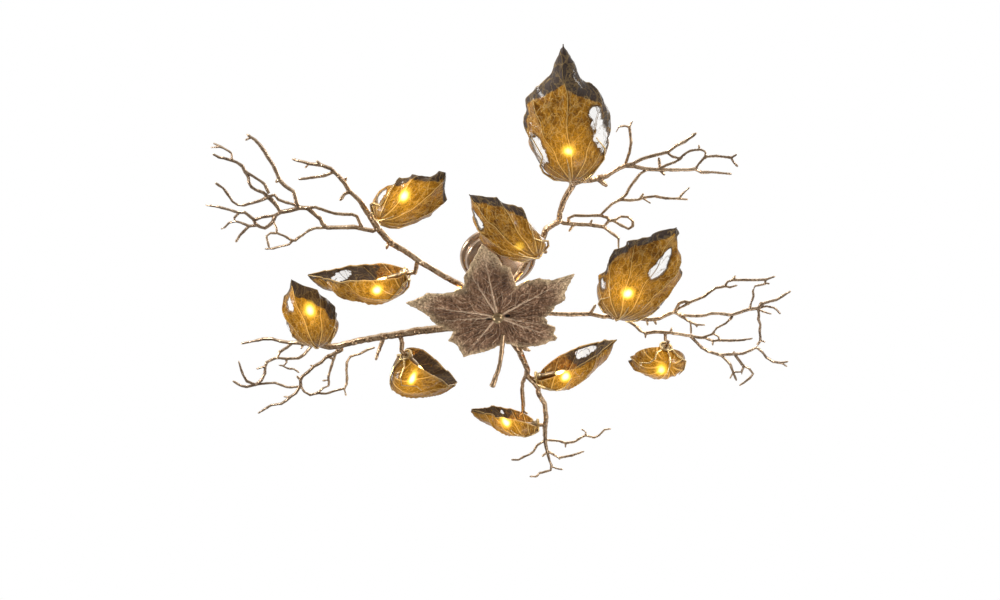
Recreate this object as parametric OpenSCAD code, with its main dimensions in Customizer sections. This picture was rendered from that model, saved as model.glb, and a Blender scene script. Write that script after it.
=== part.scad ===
// Branch chandelier: a round canopy, a stem, a cast hub with five twig limbs,
// ten cupped glass leaf shades on claws, and a large cast maple leaf under the hub.
// Millimetres, +Z up, origin at the centre of the ceiling plate's top face.

/* [Overall] */
// width of the whole light from left twig tips to right twig tips
span = 1300; // [900:10:1700]
// height from the ceiling to the middle of the hub
hub_drop = 188; // [150:1:400]

/* [Canopy] */
// outside diameter of the canopy rim
canopy_dia = 180; // [150:1:260]
// height of the canopy
canopy_height = 30; // [26:1:60]
// wall of the spun metal
canopy_wall = 1.5; // [1:0.1:3]
// radial width of the stepped rim band
rim_band = 12; // [8:1:20]
// gap between rim and ceiling
rim_gap = 0.6; // [0.2:0.1:2]
// height of the clamp collar under the canopy
collar_height = 11; // [8:1:20]
// outside diameter of the clamp collar
collar_dia = 28; // [24:1:40]

/* [Ceiling plate] */
// diameter of the ceiling plate
plate_dia = 110; // [96:1:130]
// thickness of the ceiling plate
plate_thick = 3; // [2:0.5:6]
// pitch circle of the ceiling bolts
bolt_circle = 88; // [70:1:94]
// diameter of a ceiling bolt hole
bolt_hole = 5.5; // [4:0.1:8]
// number of ceiling bolts
bolt_count = 4; // [3:1:6]
// diameter of the boss that takes the stem
boss_dia = 26; // [22:1:34]
// depth of the boss
boss_depth = 12; // [8:1:20]

/* [Stem] */
// outside diameter of the stem tube
stem_dia = 16; // [12:0.5:20]
// bore of the stem tube for the wires
stem_bore = 11; // [6:0.5:13]
// gap of a sliding fit round the stem
slide_gap = 0.06; // [0.02:0.01:0.1]
// width of a jam nut across its flats
nut_width = 24; // [22:1:34]
// height of a jam nut
nut_height = 5; // [3:0.5:10]

/* [Fittings] */
// length of the driver box
driver_length = 50; // [40:1:70]
// width of the driver box
driver_width = 22; // [16:1:30]
// height of the driver box
driver_height = 13; // [8:1:15]
// length of the terminal block
block_length = 24; // [18:1:40]
// width of the terminal block
block_width = 14; // [10:1:20]
// height of the terminal block
block_height = 11; // [8:1:15]
// diameter of a small fixing screw
screw_dia = 3; // [2:0.5:4]

/* [Hub] */
// diameter of the cast hub
hub_dia = 52; // [44:1:70]
// height of the cast hub
hub_height = 36; // [30:1:50]
// length of the arms behind the maple leaf
arm_length = 20; // [10:1:70]
// diameter of those arms
arm_dia = 9; // [7:0.5:12]
// gap between pieces that only touch
touch = 0.15; // [0.1:0.05:0.4]

/* [Maple leaf] */
// thickness of the cast maple leaf
maple_thick = 3.5; // [2:0.5:6]
// height of the waves in the maple leaf
maple_wave = 9; // [0:1:16]
// size of the maple leaf, as a factor of its drawn outline
maple_scale = 1.0; // [0.7:0.05:1.3]
// diameter of the stalk of the maple leaf
stalk_dia = 13; // [8:1:18]
// diameter of the centre knob
knob_dia = 27; // [20:1:40]
// diameter of the knob's shank
shank_dia = 8; // [6:0.5:10]

/* [Twigs] */
// thickness of limbs and twigs, as a factor of the drawn diameters
twig_girth = 1.0; // [0.7:0.05:1.4]

/* [Shades] */
// wall of a glass leaf
glass_wall = 3; // [2:0.5:5]
// gap between glass and metal
glass_gap = 0.3; // [0.2:0.05:0.8]
// angle between the lamp's axis and the leaf's rim line
leaf_tilt = 14; // [5:1:25]
// outside diameter of a calyx cup
calyx_dia = 24; // [20:1:30]
// depth of a calyx cup
calyx_depth = 15; // [11:1:20]
// thickness of a claw finger at its root
claw_dia = 5.5; // [4:0.5:8]

/* [Lamps] */
// outside diameter of a lampholder
holder_dia = 14; // [12:0.5:18]
// length of a lampholder
holder_length = 44; // [18:1:60]
// diameter of a lamp's base
base_dia = 8; // [6:0.5:9]
// length of a lamp's base inside its holder
base_depth = 8; // [5:0.5:10]
// diameter of a lamp's glass capsule
capsule_dia = 11; // [9:0.5:13]
// length of a lamp's glass capsule
capsule_length = 27; // [18:1:36]

/* [Hidden] */
spread = span / 1300;
hub_top = hub_height / 2;
hub_base = -hub_height / 2;
// the point below the light from which its plan was laid out, from the hub's middle
sight = [5, -1600, -1740];
// heights of the five limbs' working planes above the hub's middle
level_a = 38;
level_b = 38;
level_c = 18;
level_d = 3;
level_e = 13;

function unit(v) = v / norm(v);
function xyz(p) = [p[0], p[1], p[2]];
// a drawn point [x, y, rise, diameter] of a working plane, raised along its sight line
function lift(p, level) =
  let (q = [p[0] * spread, p[1] * spread, level], s = p[2] / (level - sight[2]))
  concat(q + (q - sight) * s, [p[3] * twig_girth]);
function lifted(points, level) = [for (p = points) lift(p, level)];
// a real point at the hub: angle, distance outside the hub's face, height, diameter
function hub_point(a, out, z, d) =
  let (r = hub_dia / 2 + out) [r * cos(a), r * sin(a), z, d * twig_girth];
function hub_root(a, z, d) = [hub_point(a, touch, z, d), hub_point(a, 12, z, d)];
// two points of a twig that grows square off the side of a line at its point k
function beside(line, k, side, d) =
  let (p = xyz(line[k]), t = unit(xyz(line[k + 1]) - xyz(line[k - 1])),
       s = unit(side - t * (side * t)), r = line[k][3] / 2)
  [concat(p + s * (r + touch), [d * twig_girth]), concat(p + s * (r + 6), [d * twig_girth])];
// two points that carry a limb's last stretch on past a butt joint
function butt(points, d) =
  let (n = len(points), a = xyz(points[n - 2]), b = xyz(points[n - 1]), t = unit(b - a))
  [concat(b + t * touch, [d * twig_girth]), concat(b + t * 7, [d * twig_girth])];

// ---- glass leaf placement: foot, tip, opening direction, width, depth, shoulder, skew ----
// feet and tips are drawn at the hub's scale; the opening direction faces out of the cup,
// and the skew swings the tip sideways, as a share of the leaf's length
leaves = [
  [[152, -338, 38], [125, -617, 78], [0, 0.15, 1], 168, 60, 1.0, 0, 0, 0],
  [[-256, -247, 38], [-100, -318, 58], [0, 0, 1], 104, 50, 1.8, -0.1, 0, 0],
  [[90, -170, 11], [-58, -314, 10], [0.2, 0.1, 1], 122, 46, 0.1, 0, 0, 0],
  [[-201, -84, 28], [-423, -67, 46], [0, -1, 0.42], 132, 60, 0.8, 0, 10, 12],
  [[-409, 102, 14], [-436, -72, 28], [0, 0.1, 1], 118, 54, 1.2, -0.12, 0, 0],
  [[268, 17.5, 11.5], [350, -214, 44], [0, 0.1, 1], 160, 60, 1.75, 0.14, 0, 0],
  [[93.5, 220.5, 4], [277, 112, 23], [-0.3, -1, 0.5], 116, 50, 0.6, 0, 6, 16],
  [[-215, 151, 10], [-98, 271, 36], [0.2, -1, 0.2], 110, 90, 1.5, 0, 14, 14],
  [[98, 389, 3], [-65, 342, 13], [0, -1, 0.55], 110, 32, 0.9, 0, 14, 22],
  [[391, 128, 14], [362, 234, 38], [0.1, -0.8, 1], 130, 58, 0.8, 0.06, 0, 0]];

function leaf_foot(i) = [leaves[i][0][0] * spread, leaves[i][0][1] * spread, leaves[i][0][2]];
function leaf_span(i) = leaves[i][1] - leaves[i][0];
function leaf_length(i) = norm(leaf_span(i));
function leaf_open(i) =
  let (c = unit(leaf_span(i)), o = leaves[i][2]) unit(o - c * (o * c));
function leaf_x(i) = unit(leaf_span(i)) * cos(leaf_tilt) - leaf_open(i) * sin(leaf_tilt);
function leaf_z(i) = leaf_open(i) * cos(leaf_tilt) + unit(leaf_span(i)) * sin(leaf_tilt);
function leaf_y(i) = cross(leaf_z(i), leaf_x(i));
function leaf_point(i, p) =
  leaf_foot(i) + leaf_x(i) * p[0] + leaf_y(i) * p[1] + leaf_z(i) * p[2];
module at_leaf(i) {
  x = leaf_x(i);
  y = leaf_y(i);
  z = leaf_z(i);
  f = leaf_foot(i);
  multmatrix([[x[0], y[0], z[0], f[0]], [x[1], y[1], z[1], f[1]], [x[2], y[2], z[2], f[2]]])
    children();
}

// ---- the cup's shape: half width and depth along the leaf, as shares of their largest ----
full_width = [[0, 0], [0.03, 0.34], [0.08, 0.56], [0.16, 0.78], [0.28, 0.95], [0.42, 1],
  [0.55, 0.96], [0.68, 0.82], [0.8, 0.58], [0.9, 0.32], [1, -0.1]];
shoulder_width = [[0, 0], [0.03, 0.34], [0.08, 0.56], [0.16, 0.78], [0.28, 0.95], [0.42, 1],
  [0.55, 0.99], [0.67, 0.93], [0.72, 0.62], [0.8, 0.34], [0.9, 0.14], [1, -0.1]];
blunt_width = [[0, 0], [0.03, 0.34], [0.08, 0.56], [0.16, 0.78], [0.28, 0.94], [0.42, 1],
  [0.55, 1.02], [0.68, 1], [0.8, 0.92], [0.87, 0.7], [0.93, 0.36], [1, -0.1]];
cup_depth = [[0, 0], [0.03, 0.3], [0.08, 0.52], [0.16, 0.76], [0.3, 1], [0.5, 0.94],
  [0.7, 0.68], [0.85, 0.36], [1, -0.15]];
foot_r = (calyx_dia / 2 + glass_gap) / cos(17) + glass_wall;
glass_start = 3;
function half_width(i, u) =
  let (s = leaves[i][5], a = lookup(u, full_width), b = lookup(u, shoulder_width),
       c = lookup(u, blunt_width), w = s < 1 ? a + (b - a) * s : b + (c - b) * (s - 1))
  foot_r + (leaves[i][3] / 2 - foot_r) * w - foot_r * 0.75 * pow(u, 4);
function depth(i, u) =
  foot_r + (leaves[i][4] - foot_r) * lookup(u, cup_depth) - foot_r * 0.5 * pow(u, 4);
function rim_rise(i, u) = leaf_length(i) * sin(leaf_tilt) * pow(u, 1.4);
// how far a rim's crest stands out of the cup, on its two sides
function crest(i, u, v) =
  leaves[i][v < 0 ? 7 : 8] * sin(180 * pow(u, 0.7)) * pow(abs(v), 3);
function cup(i, u, v, inset) =
  let (b = half_width(i, u), d = depth(i, u), t = min(inset, b / 2, d / 2))
  [glass_start + (leaf_length(i) * cos(leaf_tilt) - glass_start) * u,
   (b - t) * sin(90 * v) + leaves[i][6] * leaf_length(i) * pow(u, 2.2),
   rim_rise(i, u) + crest(i, u, v) - (d - t) * cos(90 * v)];
function cup_normal(i, u, v) =
  let (e = 0.01, a = cup(i, u + e, v, 0) - cup(i, max(u - e, 0), v, 0),
       b = cup(i, u, v + e, 0) - cup(i, u, v - e, 0))
  unit(cross(b, a));

cup_u = [0, 0.02, 0.06, 0.13, 0.25, 0.4, 0.55, 0.68, 0.78, 0.89, 1];
cup_v = [-1, -0.7, -0.36, 0, 0.36, 0.7, 1];

module glass_leaf(i) {
  nu = len(cup_u);
  nv = len(cup_v);
  outer = [for (u = cup_u) for (v = cup_v) leaf_point(i, cup(i, u, v, 0))];
  inner = [for (u = cup_u) for (v = cup_v) leaf_point(i, cup(i, u, v, glass_wall))];
  m = nu * nv;
  faces = concat(
    [for (a = [0:nu - 2]) for (b = [0:nv - 2]) each
      [[a * nv + b, (a + 1) * nv + b + 1, (a + 1) * nv + b],
       [a * nv + b, a * nv + b + 1, (a + 1) * nv + b + 1],
       [m + a * nv + b, m + (a + 1) * nv + b, m + (a + 1) * nv + b + 1],
       [m + a * nv + b, m + (a + 1) * nv + b + 1, m + a * nv + b + 1]]],
    [for (a = [0:nu - 2]) for (b = [0, nv - 1]) each
      b == 0
      ? [[a * nv, (a + 1) * nv, m + (a + 1) * nv], [a * nv, m + (a + 1) * nv, m + a * nv]]
      : [[a * nv + b, m + (a + 1) * nv + b, (a + 1) * nv + b],
         [a * nv + b, m + a * nv + b, m + (a + 1) * nv + b]]],
    [for (b = [0:nv - 2]) for (a = [0, nu - 1]) each
      a == 0
      ? [[b, m + b + 1, b + 1], [b, m + b, m + b + 1]]
      : [[a * nv + b, a * nv + b + 1, m + a * nv + b + 1],
         [a * nv + b, m + a * nv + b + 1, m + a * nv + b]]]);
  color([0.75, 0.5, 0.14]) polyhedron(concat(outer, inner), faces);
}

// ---- a tube swept through [x, y, z, diameter] points, with flat ends ----
module sweep(points, sides = 6) {
  n = len(points);
  p = [for (q = points) xyz(q)];
  rings = [for (i = [0:n - 1])
    let (t = unit(p[min(i + 1, n - 1)] - p[max(i - 1, 0)]),
         s = unit(cross(t, abs(t[2]) > 0.95 ? [0, 1, 0] : [0, 0, 1])), u = cross(s, t))
    for (k = [0:sides - 1])
      p[i] + points[i][3] / 2 * (cos(360 * k / sides) * s + sin(360 * k / sides) * u)];
  sides_faces = [for (i = [0:n - 2]) for (k = [0:sides - 1])
    let (a = i * sides + k, b = i * sides + (k + 1) % sides) each
    [[a, b, a + sides], [b, b + sides, a + sides]]];
  ends = [[for (k = [sides - 1:-1:0]) k], [for (k = [0:sides - 1]) (n - 1) * sides + k]];
  polyhedron(rings, concat(sides_faces, ends));
}
// the pointed bud at the end of a twig
module bud(points) {
  n = len(points);
  a = xyz(points[n - 1]);
  t = unit(a - xyz(points[n - 2]));
  d = points[n - 1][3];
  hull() {
    translate(a - t * d * 0.3) cube(d * 0.8, center = true);
    translate(a + t * d * 1.2) cube(d * 0.35, center = true);
  }
}
// a knot on a twig
module knot(q, d) {
  hull() translate(xyz(q) + [d * 0.12, -d * 0.12, -d * 0.28]) cube(d * 0.5, center = true);
}
// a list of twigs, the first ones with pointed buds
module twigs(list, level, buds = 7) {
  for (k = [0:len(list) - 1]) {
    w = lifted(list[k], level);
    sweep(w, list[k][0][3] < 5.2 ? 3 : 4);
    if (k < buds) bud(w);
  }
}

// ---- limb a: upper left ----
limb_a_line = [[-76, -38, -36, 10], [-113, -64, -32, 10],
  [-168, -108, -20, 10], [-200, -140, -8, 10], [-230, -163, -3, 11], [-256, -203, 0, 12],
  [-272, -240, 2, 10], [-284, -268, 6, 9]];
foot_2_line = [[-262, -214, 1, 9], [-266, -232, 1, 7]];
foot_4_line = [[-176, -114, -18, 8], [-180, -92, -16, 7], [-184, -78, -12, 7]];
// ---- limb b: upper right ----
limb_b_line = [[30, -50, -38, 11], [50, -82, -26, 10.5], [62, -110, -16, 11],
  [80, -133, -10, 11], [94, -162, -4, 11], [103, -201, 0, 11], [131, -224, 2, 10],
  [131, -244, 4, 9.5], [140, -283, 8, 9.5], [158, -322, 8, 11], [174, -330, 8, 10], [190, -329, 8, 10],
  [208, -334, 8, 10], [218, -338, 9, 9.8]];
// ---- limb c: right ----
limb_c_line = [[60, 14, -16, 8], [106, 24, -14, 7.5], [160, 28, -10, 7.5],
  [209, 27, -6, 7.5], [240, 35, -3, 7.5], [262, 34, 0, 7.5], [290, 31, 0, 8], [302, 31, 0, 8]];
// ---- limb d: bottom ----
limb_d_line = [[20, 60, -1, 12], [36, 106, 0, 12], [51, 132, 0, 13], [56, 150, 0, 12],
  [64, 173, 0, 11], [70, 193, 0, 11], [69, 213, 0, 11], [86, 236, -2, 11], [97, 256, -4, 9.5],
  [98, 275, -5, 9], [106, 293, -6, 9], [114, 312, -6, 9], [116, 335, -6, 8.5], [119, 360, -5, 9],
  [118, 384, -4, 8.5], [117, 408, -4, 8.5], [118, 432, -4, 8.5]];
// ---- limb e: lower left ----
limb_e_line = [[-60, 38, -10, 15], [-110, 64, -6, 15], [-147, 70, -4, 15],
  [-186, 75, -2, 14.5], [-230, 87, 0, 14], [-263, 92, 0, 13], [-298, 101, 0, 12.5], [-332, 110, 0, 12],
  [-366, 122, 0, 12], [-392, 127, 0, 12], [-413, 119.5, 1.5, 11.5]];

a_line = concat(hub_root(235, 4, 12), lifted(limb_a_line, level_a));
b_line = concat(hub_root(-75, 3, 12), lifted(limb_b_line, level_b));
c_line = concat(hub_root(2, 0, 10), lifted(limb_c_line, level_c));
d_line = concat(hub_root(76, 0, 12), lifted(limb_d_line, level_d));
e_line = concat(hub_root(157, 0, 15), lifted(limb_e_line, level_e));

// the last two points of a twig that carries leaf i: on its lamp axis, behind the calyx
calyx_floor = 3;
function foot_points(i, d, back = 16) = [
  concat(leaf_point(i, [-calyx_floor - back, 0, 0]), [d]),
  concat(leaf_point(i, [-calyx_floor - touch, 0, 0]), [d])];
module carrier(points, level, i, d, back = 16) {
  sweep(concat(lifted(points, level), foot_points(i, d, back)), 5);
}

module limb_a() {
  color([0.62, 0.49, 0.33]) {
    sweep(a_line, 6);
    carrier(foot_2_line, level_a, 1, 7);
    carrier(foot_4_line, level_a, 3, 7);
    twigs([[[-232, -166, -3, 7], [-238, -160, -3, 5], [-240, -153, -4, 4]]], level_a);
    for (k = [1:8]) knot(a_line[k], a_line[k][3] * 1.1);
  }
}
module limb_b() {
  color([0.62, 0.49, 0.33]) {
    sweep(b_line, 6);
    carrier([[158, -320, 8, 9]], level_b, 0, 9);
    carrier([[87, -148, -7, 8]], level_b, 2, 7);
    twigs([[[205, -333, 8, 9], [215, -325, 8, 8], [220, -320, 8, 6]]], level_b);
    for (k = [2:9]) knot(b_line[k], b_line[k][3] * 1.08);
  }
}
module limb_c() {
  color([0.62, 0.49, 0.33]) {
    sweep(c_line, 6);
    carrier([[250, 35, -2, 7]], level_c, 5, 7);
    twigs([[[209, 27, -6, 6], [214, 15, -5, 5], [218, 4, -3, 3.5]]], level_c);
    for (k = [1:8]) knot(c_line[k], c_line[k][3] * 1.12);
  }
}
module limb_d() {
  color([0.62, 0.49, 0.33]) {
    sweep(d_line, 6);
    carrier([[70, 212, 0, 9]], level_d, 6, 8, 8);
    carrier([[118, 396, -4, 8]], level_d, 8, 7);
    twigs([[[34, 104, 0, 9], [50, 115, -2, 8], [66, 124, -4, 7]],
      [[68, 208, 0, 8], [59, 236, 4, 7], [58, 262, 5, 7], [60, 290, 6, 7], [62, 318, 8, 7],
       [61, 340, 12, 5], [54, 352, 16, 3.5]],
      [[61, 334, 11, 5], [70, 345, 15, 3.5]]], level_d);
    for (k = [2:2:16]) knot(d_line[k], d_line[k][3] * 1.08);
  }
}
module limb_e() {
  color([0.62, 0.49, 0.33]) {
    sweep(e_line, 7);
    carrier([[-390, 127, 0, 9]], level_e, 4, 8);
    carrier([[-226, 86, 0, 10], [-222, 112, 2, 8.5]], level_e, 7, 8);
    twigs([[[-262, 93, 0, 9], [-275, 129, -3, 6.5], [-286, 164, -8, 3.5]]], level_e);
    for (k = [2:9]) knot(e_line[k], e_line[k][3] * 1.06);
  }
}

// ---- sprays: each grows on from its limb's end ----
module spray_a1() {
  color([0.55, 0.44, 0.32]) {
    root = concat(butt(a_line, 9), lifted([[-308, -302, 14, 8], [-315, -322, 16, 8],
      [-325, -338, 18, 7.5], [-340, -358, 20, 7], [-357, -366, 22, 6.5], [-383, -370, 26, 6],
      [-399, -376, 30, 5], [-411, -380, 34, 3.5]], level_a));
    sweep(root, 5);
    bud(root);
    twigs([[[-336, -350, 19, 6], [-350, -342, 16, 6], [-367, -338, 14, 5.5], [-390, -334, 10, 5],
        [-405, -332, 7, 3.5]],
      [[-306, -300, 13, 6], [-318, -294, 11, 6], [-325, -284, 8, 5]],
      [[-316, -322, 16, 5], [-312, -332, 19, 3.5]], [[-357, -366, 22, 5], [-364, -374, 25, 3]],
      [[-383, -370, 26, 4], [-390, -362, 27, 2.5]]], level_a);
    for (k = [2, 4, 6]) knot(root[k], root[k][3] * 1.15);
  }
}
J2 = [-400, -257, -2];
module spray_a2() {
  color([0.55, 0.44, 0.32]) {
    root = concat(beside(a_line, 7, [-1, 0.05, 0], 9), lifted([[-306, -207, -3, 9], [-333, -206, -5,
        8.5], [-364, -205, -6, 8], [-373, -216, -6, 8],
        [-376, -229, -5, 8], [-386, -241, -4, 8], [-400, -257, -2, 8.5], [-416, -258, 0, 9],
        [-437, -251, 0, 9], [-458, -247, 2, 9], [-462, -262, 4, 8.5], [-470, -276, 6, 8.5],
        [-479, -287, 8, 9]], level_a));
    sweep(root, 5);
    twigs([
      [[-290, -207, 0, 7], [-298, -236, 4, 6], [-308, -241, 5, 6], [-325, -241, 6, 6], [-344, -243, 5, 6],
       [-359, -249, 3, 6], [-383, -260, 0, 6], [-400, -257, -2, 6.5]],
      [[-366, -206, -6, 6], [-389, -204, -8, 5], [-402, -199, -9, 5], [-413, -190, -10, 4.5],
       [-425, -181, -12, 4.5], [-437, -170, -13, 5], [-445, -171, -14, 5], [-457, -182, -15, 4.5],
       [-473, -190, -16, 4.5], [-487, -191, -18, 4], [-497, -182, -20, 3.5], [-496, -154, -24, 2.5]],
      [[-443, -170, -14, 5], [-452, -159, -15, 4.5], [-474, -153, -15, 4.5], [-488, -148, -14, 5],
       [-501, -147, -14, 3]],
      [[-473, -190, -16, 4], [-472, -205, -10, 4], [-475, -216, -4, 4], [-476, -224, 0, 4.5]],
      [[-456, -247, 2, 8], [-470, -238, 3, 7.5], [-477, -222, 2, 7], [-487, -211, 0, 7],
       [-497, -204, -2, 7.5], [-506, -207, -2, 7], [-515, -214, 0, 7], [-518, -228, 2, 6.5],
       [-533, -246, 5, 6.5], [-547, -246, 6, 6], [-560, -251, 8, 5.5], [-573, -256, 10, 5],
       [-586, -261, 12, 4.5], [-608, -265, 15, 3]],
      [[-470, -238, 3, 6], [-483, -236, 5, 5.5], [-499, -233, 5, 5], [-511, -228, 3, 5]],
      [[-514, -212, 0, 6], [-531, -209, -3, 5.5], [-544, -195, -6, 5.5], [-554, -184, -9, 5],
       [-563, -170, -12, 3]],
      [[-529, -209, -3, 5], [-547, -219, -4, 4.5], [-557, -222, -5, 4.5], [-571, -219, -5, 5],
       [-583, -206, -8, 4], [-591, -202, -10, 2.5]],
      [[-546, -245, 6, 5], [-558, -232, 2, 5], [-558, -222, -4, 5]],
      [[-478, -287, 8, 7], [-493, -278, 9, 6], [-512, -271, 10, 5.5], [-533, -265, 12, 5.5],
       [-545, -266, 14, 5], [-554, -274, 16, 5], [-561, -293, 20, 5], [-568, -309, 23, 5],
       [-581, -322, 26, 3.5]],
      [[-478, -286, 8, 6], [-464, -292, 10, 6.5], [-458, -280, 8, 6], [-445, -273, 5, 5.5],
       [-430, -268, 2, 5.5], [-421, -262, 0, 6]]], level_a);
    upper = lifted([[-418, -258, 0, 7], [-421, -272, 3, 7], [-422, -286, 6, 7], [-423, -300, 9, 7],
      [-431, -307, 11, 7], [-440, -316, 13, 7], [-448, -329, 16, 8], [-451, -345, 19, 7.5],
      [-456, -367, 22, 7], [-464, -386, 25, 6.5], [-469, -401, 28, 7.5], [-477, -417, 31, 6],
      [-484, -428, 34, 5.5], [-494, -437, 38, 4]], level_a);
    sweep(upper, 5);
    bud(upper);
    twigs([[[-491, -433, 37, 4], [-500, -428, 38, 2.5]], [[-450, -332, 17, 6], [-456, -324, 15, 5]],
      [[-479, -287, 8, 8], [-486, -297, 11, 7], [-500, -304, 14, 6], [-509, -312, 17, 6],
       [-512, -324, 19, 5.5], [-511, -338, 21, 5.5], [-516, -351, 23, 6.5], [-519, -364, 25, 6],
       [-529, -373, 27, 6], [-538, -378, 28, 5.5], [-552, -383, 30, 5.5], [-562, -385, 32, 4.5],
       [-573, -393, 35, 3]],
      [[-475, -296, 10, 6], [-481, -319, 14, 6], [-488, -327, 17, 5.5], [-500, -338, 20, 5],
       [-515, -351, 23, 5]],
      [[-537, -378, 28, 5], [-536, -395, 32, 4.5], [-541, -401, 34, 4.5], [-552, -409, 37, 5],
       [-568, -419, 41, 3.5]],
      [[-556, -411, 38, 4], [-575, -409, 40, 2.5]]], level_a, 1);
  }
}
module spray_b1() {
  color([0.55, 0.44, 0.32]) {
    root = concat(butt(b_line, 9.5), lifted([[232, -348, 12, 8.5], [248, -359, 14, 8], [260, -366, 16, 8.5],
      [279, -363, 16, 7], [304, -357, 15, 7], [333, -355, 15, 6.5], [357, -355, 17, 6],
      [386, -355, 20, 5.5], [403, -357, 22, 6], [416, -349, 22, 5], [440, -349, 24, 4.5],
      [475, -345, 28, 3]], level_b));
    sweep(root, 5);
    bud(root);
    twigs([
      [[403, -357, 22, 5], [409, -370, 25, 4.5], [419, -387, 28, 5], [441, -389, 30, 5],
       [473, -385, 33, 4.5], [479, -390, 35, 3]],
      [[472, -385, 33, 4], [478, -374, 33, 3], [486, -366, 32, 2.5]],
      [[258, -365, 16, 6.5], [274, -370, 18, 6], [295, -383, 22, 7], [319, -391, 25, 6],
       [342, -398, 28, 6.5], [358, -414, 32, 5.5], [375, -424, 35, 6], [390, -439, 40, 4.5]],
      [[341, -397, 28, 5], [353, -387, 26, 4.5], [368, -383, 26, 5], [380, -396, 29, 4.5],
       [388, -402, 31, 4.5], [408, -404, 34, 4], [418, -399, 33, 3.5], [420, -388, 29, 4]],
      [[326, -356, 15, 5], [342, -366, 19, 5], [360, -374, 23, 4.5], [369, -382, 26, 4.5]],
      [[406, -403, 34, 3.5], [404, -411, 37, 2.5]],
      [[332, -354, 15, 6], [327, -379, 24, 3.5]], [[331, -355, 15, 5.5], [342, -342, 11, 3]],
      [[259, -365, 16, 6], [262, -379, 20, 5], [266, -400, 25, 4.5], [267, -420, 29, 5],
       [263, -444, 35, 4.5], [260, -458, 39, 4.5], [265, -471, 44, 3]],
      [[261, -457, 39, 4], [251, -460, 41, 3.5], [240, -458, 42, 3], [235, -445, 39, 2]],
      [[304, -356, 15, 6], [291, -344, 11, 5], [282, -327, 6, 5], [273, -310, 2, 5],
       [267, -292, -2, 5], [256, -280, -5, 6], [240, -269, -7, 5], [223, -247, -8, 4.5],
       [217, -239, -8, 4.5]],
      [[256, -280, -5, 5.5], [274, -278, -5, 5], [293, -279, -3, 5.5], [304, -285, 0, 5.5],
       [328, -288, 3, 5], [350, -283, 5, 5.5], [380, -282, 7, 4.5], [397, -280, 8, 3]],
      [[378, -282, 7, 4], [384, -294, 11, 3.5], [397, -311, 17, 2.5]],
      [[297, -280, -2, 4.5], [303, -295, 3, 3.5]], [[303, -284, 0, 4], [320, -270, -5, 2.5]]], level_b);
  }
}
module spray_b2() {
  color([0.55, 0.44, 0.32]) {
    root = concat(beside(b_line, 8, [1, -0.08, 0.05], 8), lifted([[163, -215, -2, 7], [196, -213, -6,
        6.5], [226, -208, -9, 7], [241, -194, -13, 5],
        [260, -177, -18, 4.5], [262, -154, -26, 3]], level_b));
    sweep(root, 5);
    bud(root);
    for (k = [2:5]) knot(root[k], root[k][3] * 1.15);
    twigs([[[152, -216.5, -1, 6.5], [150, -231, 3, 6], [162, -238, 4, 6], [188, -237, 2, 5.5],
       [217, -238, -2, 6], [231, -233, -5, 5.5], [240, -224, -7, 6], [250, -227, -7, 5.5],
       [261, -235, -6, 5], [276, -234, -6, 5], [287, -224, -8, 4.5], [288, -210, -11, 4.5],
       [280, -202, -13, 5], [264, -211, -11, 5], [246, -223.5, -7.4, 5]],
      [[226, -209, -9, 6], [232, -217, -8, 5.5], [237, -227, -6, 5.2]]], level_b, 0);
    twigs([
      [[163, -215, -2, 6], [156, -202, -5, 4.5]], [[196, -213, -6, 4], [199, -222, -3, 3]],
      [[217, -238, -2, 4], [222, -245, 0, 3]]], level_b);
  }
}
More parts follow.
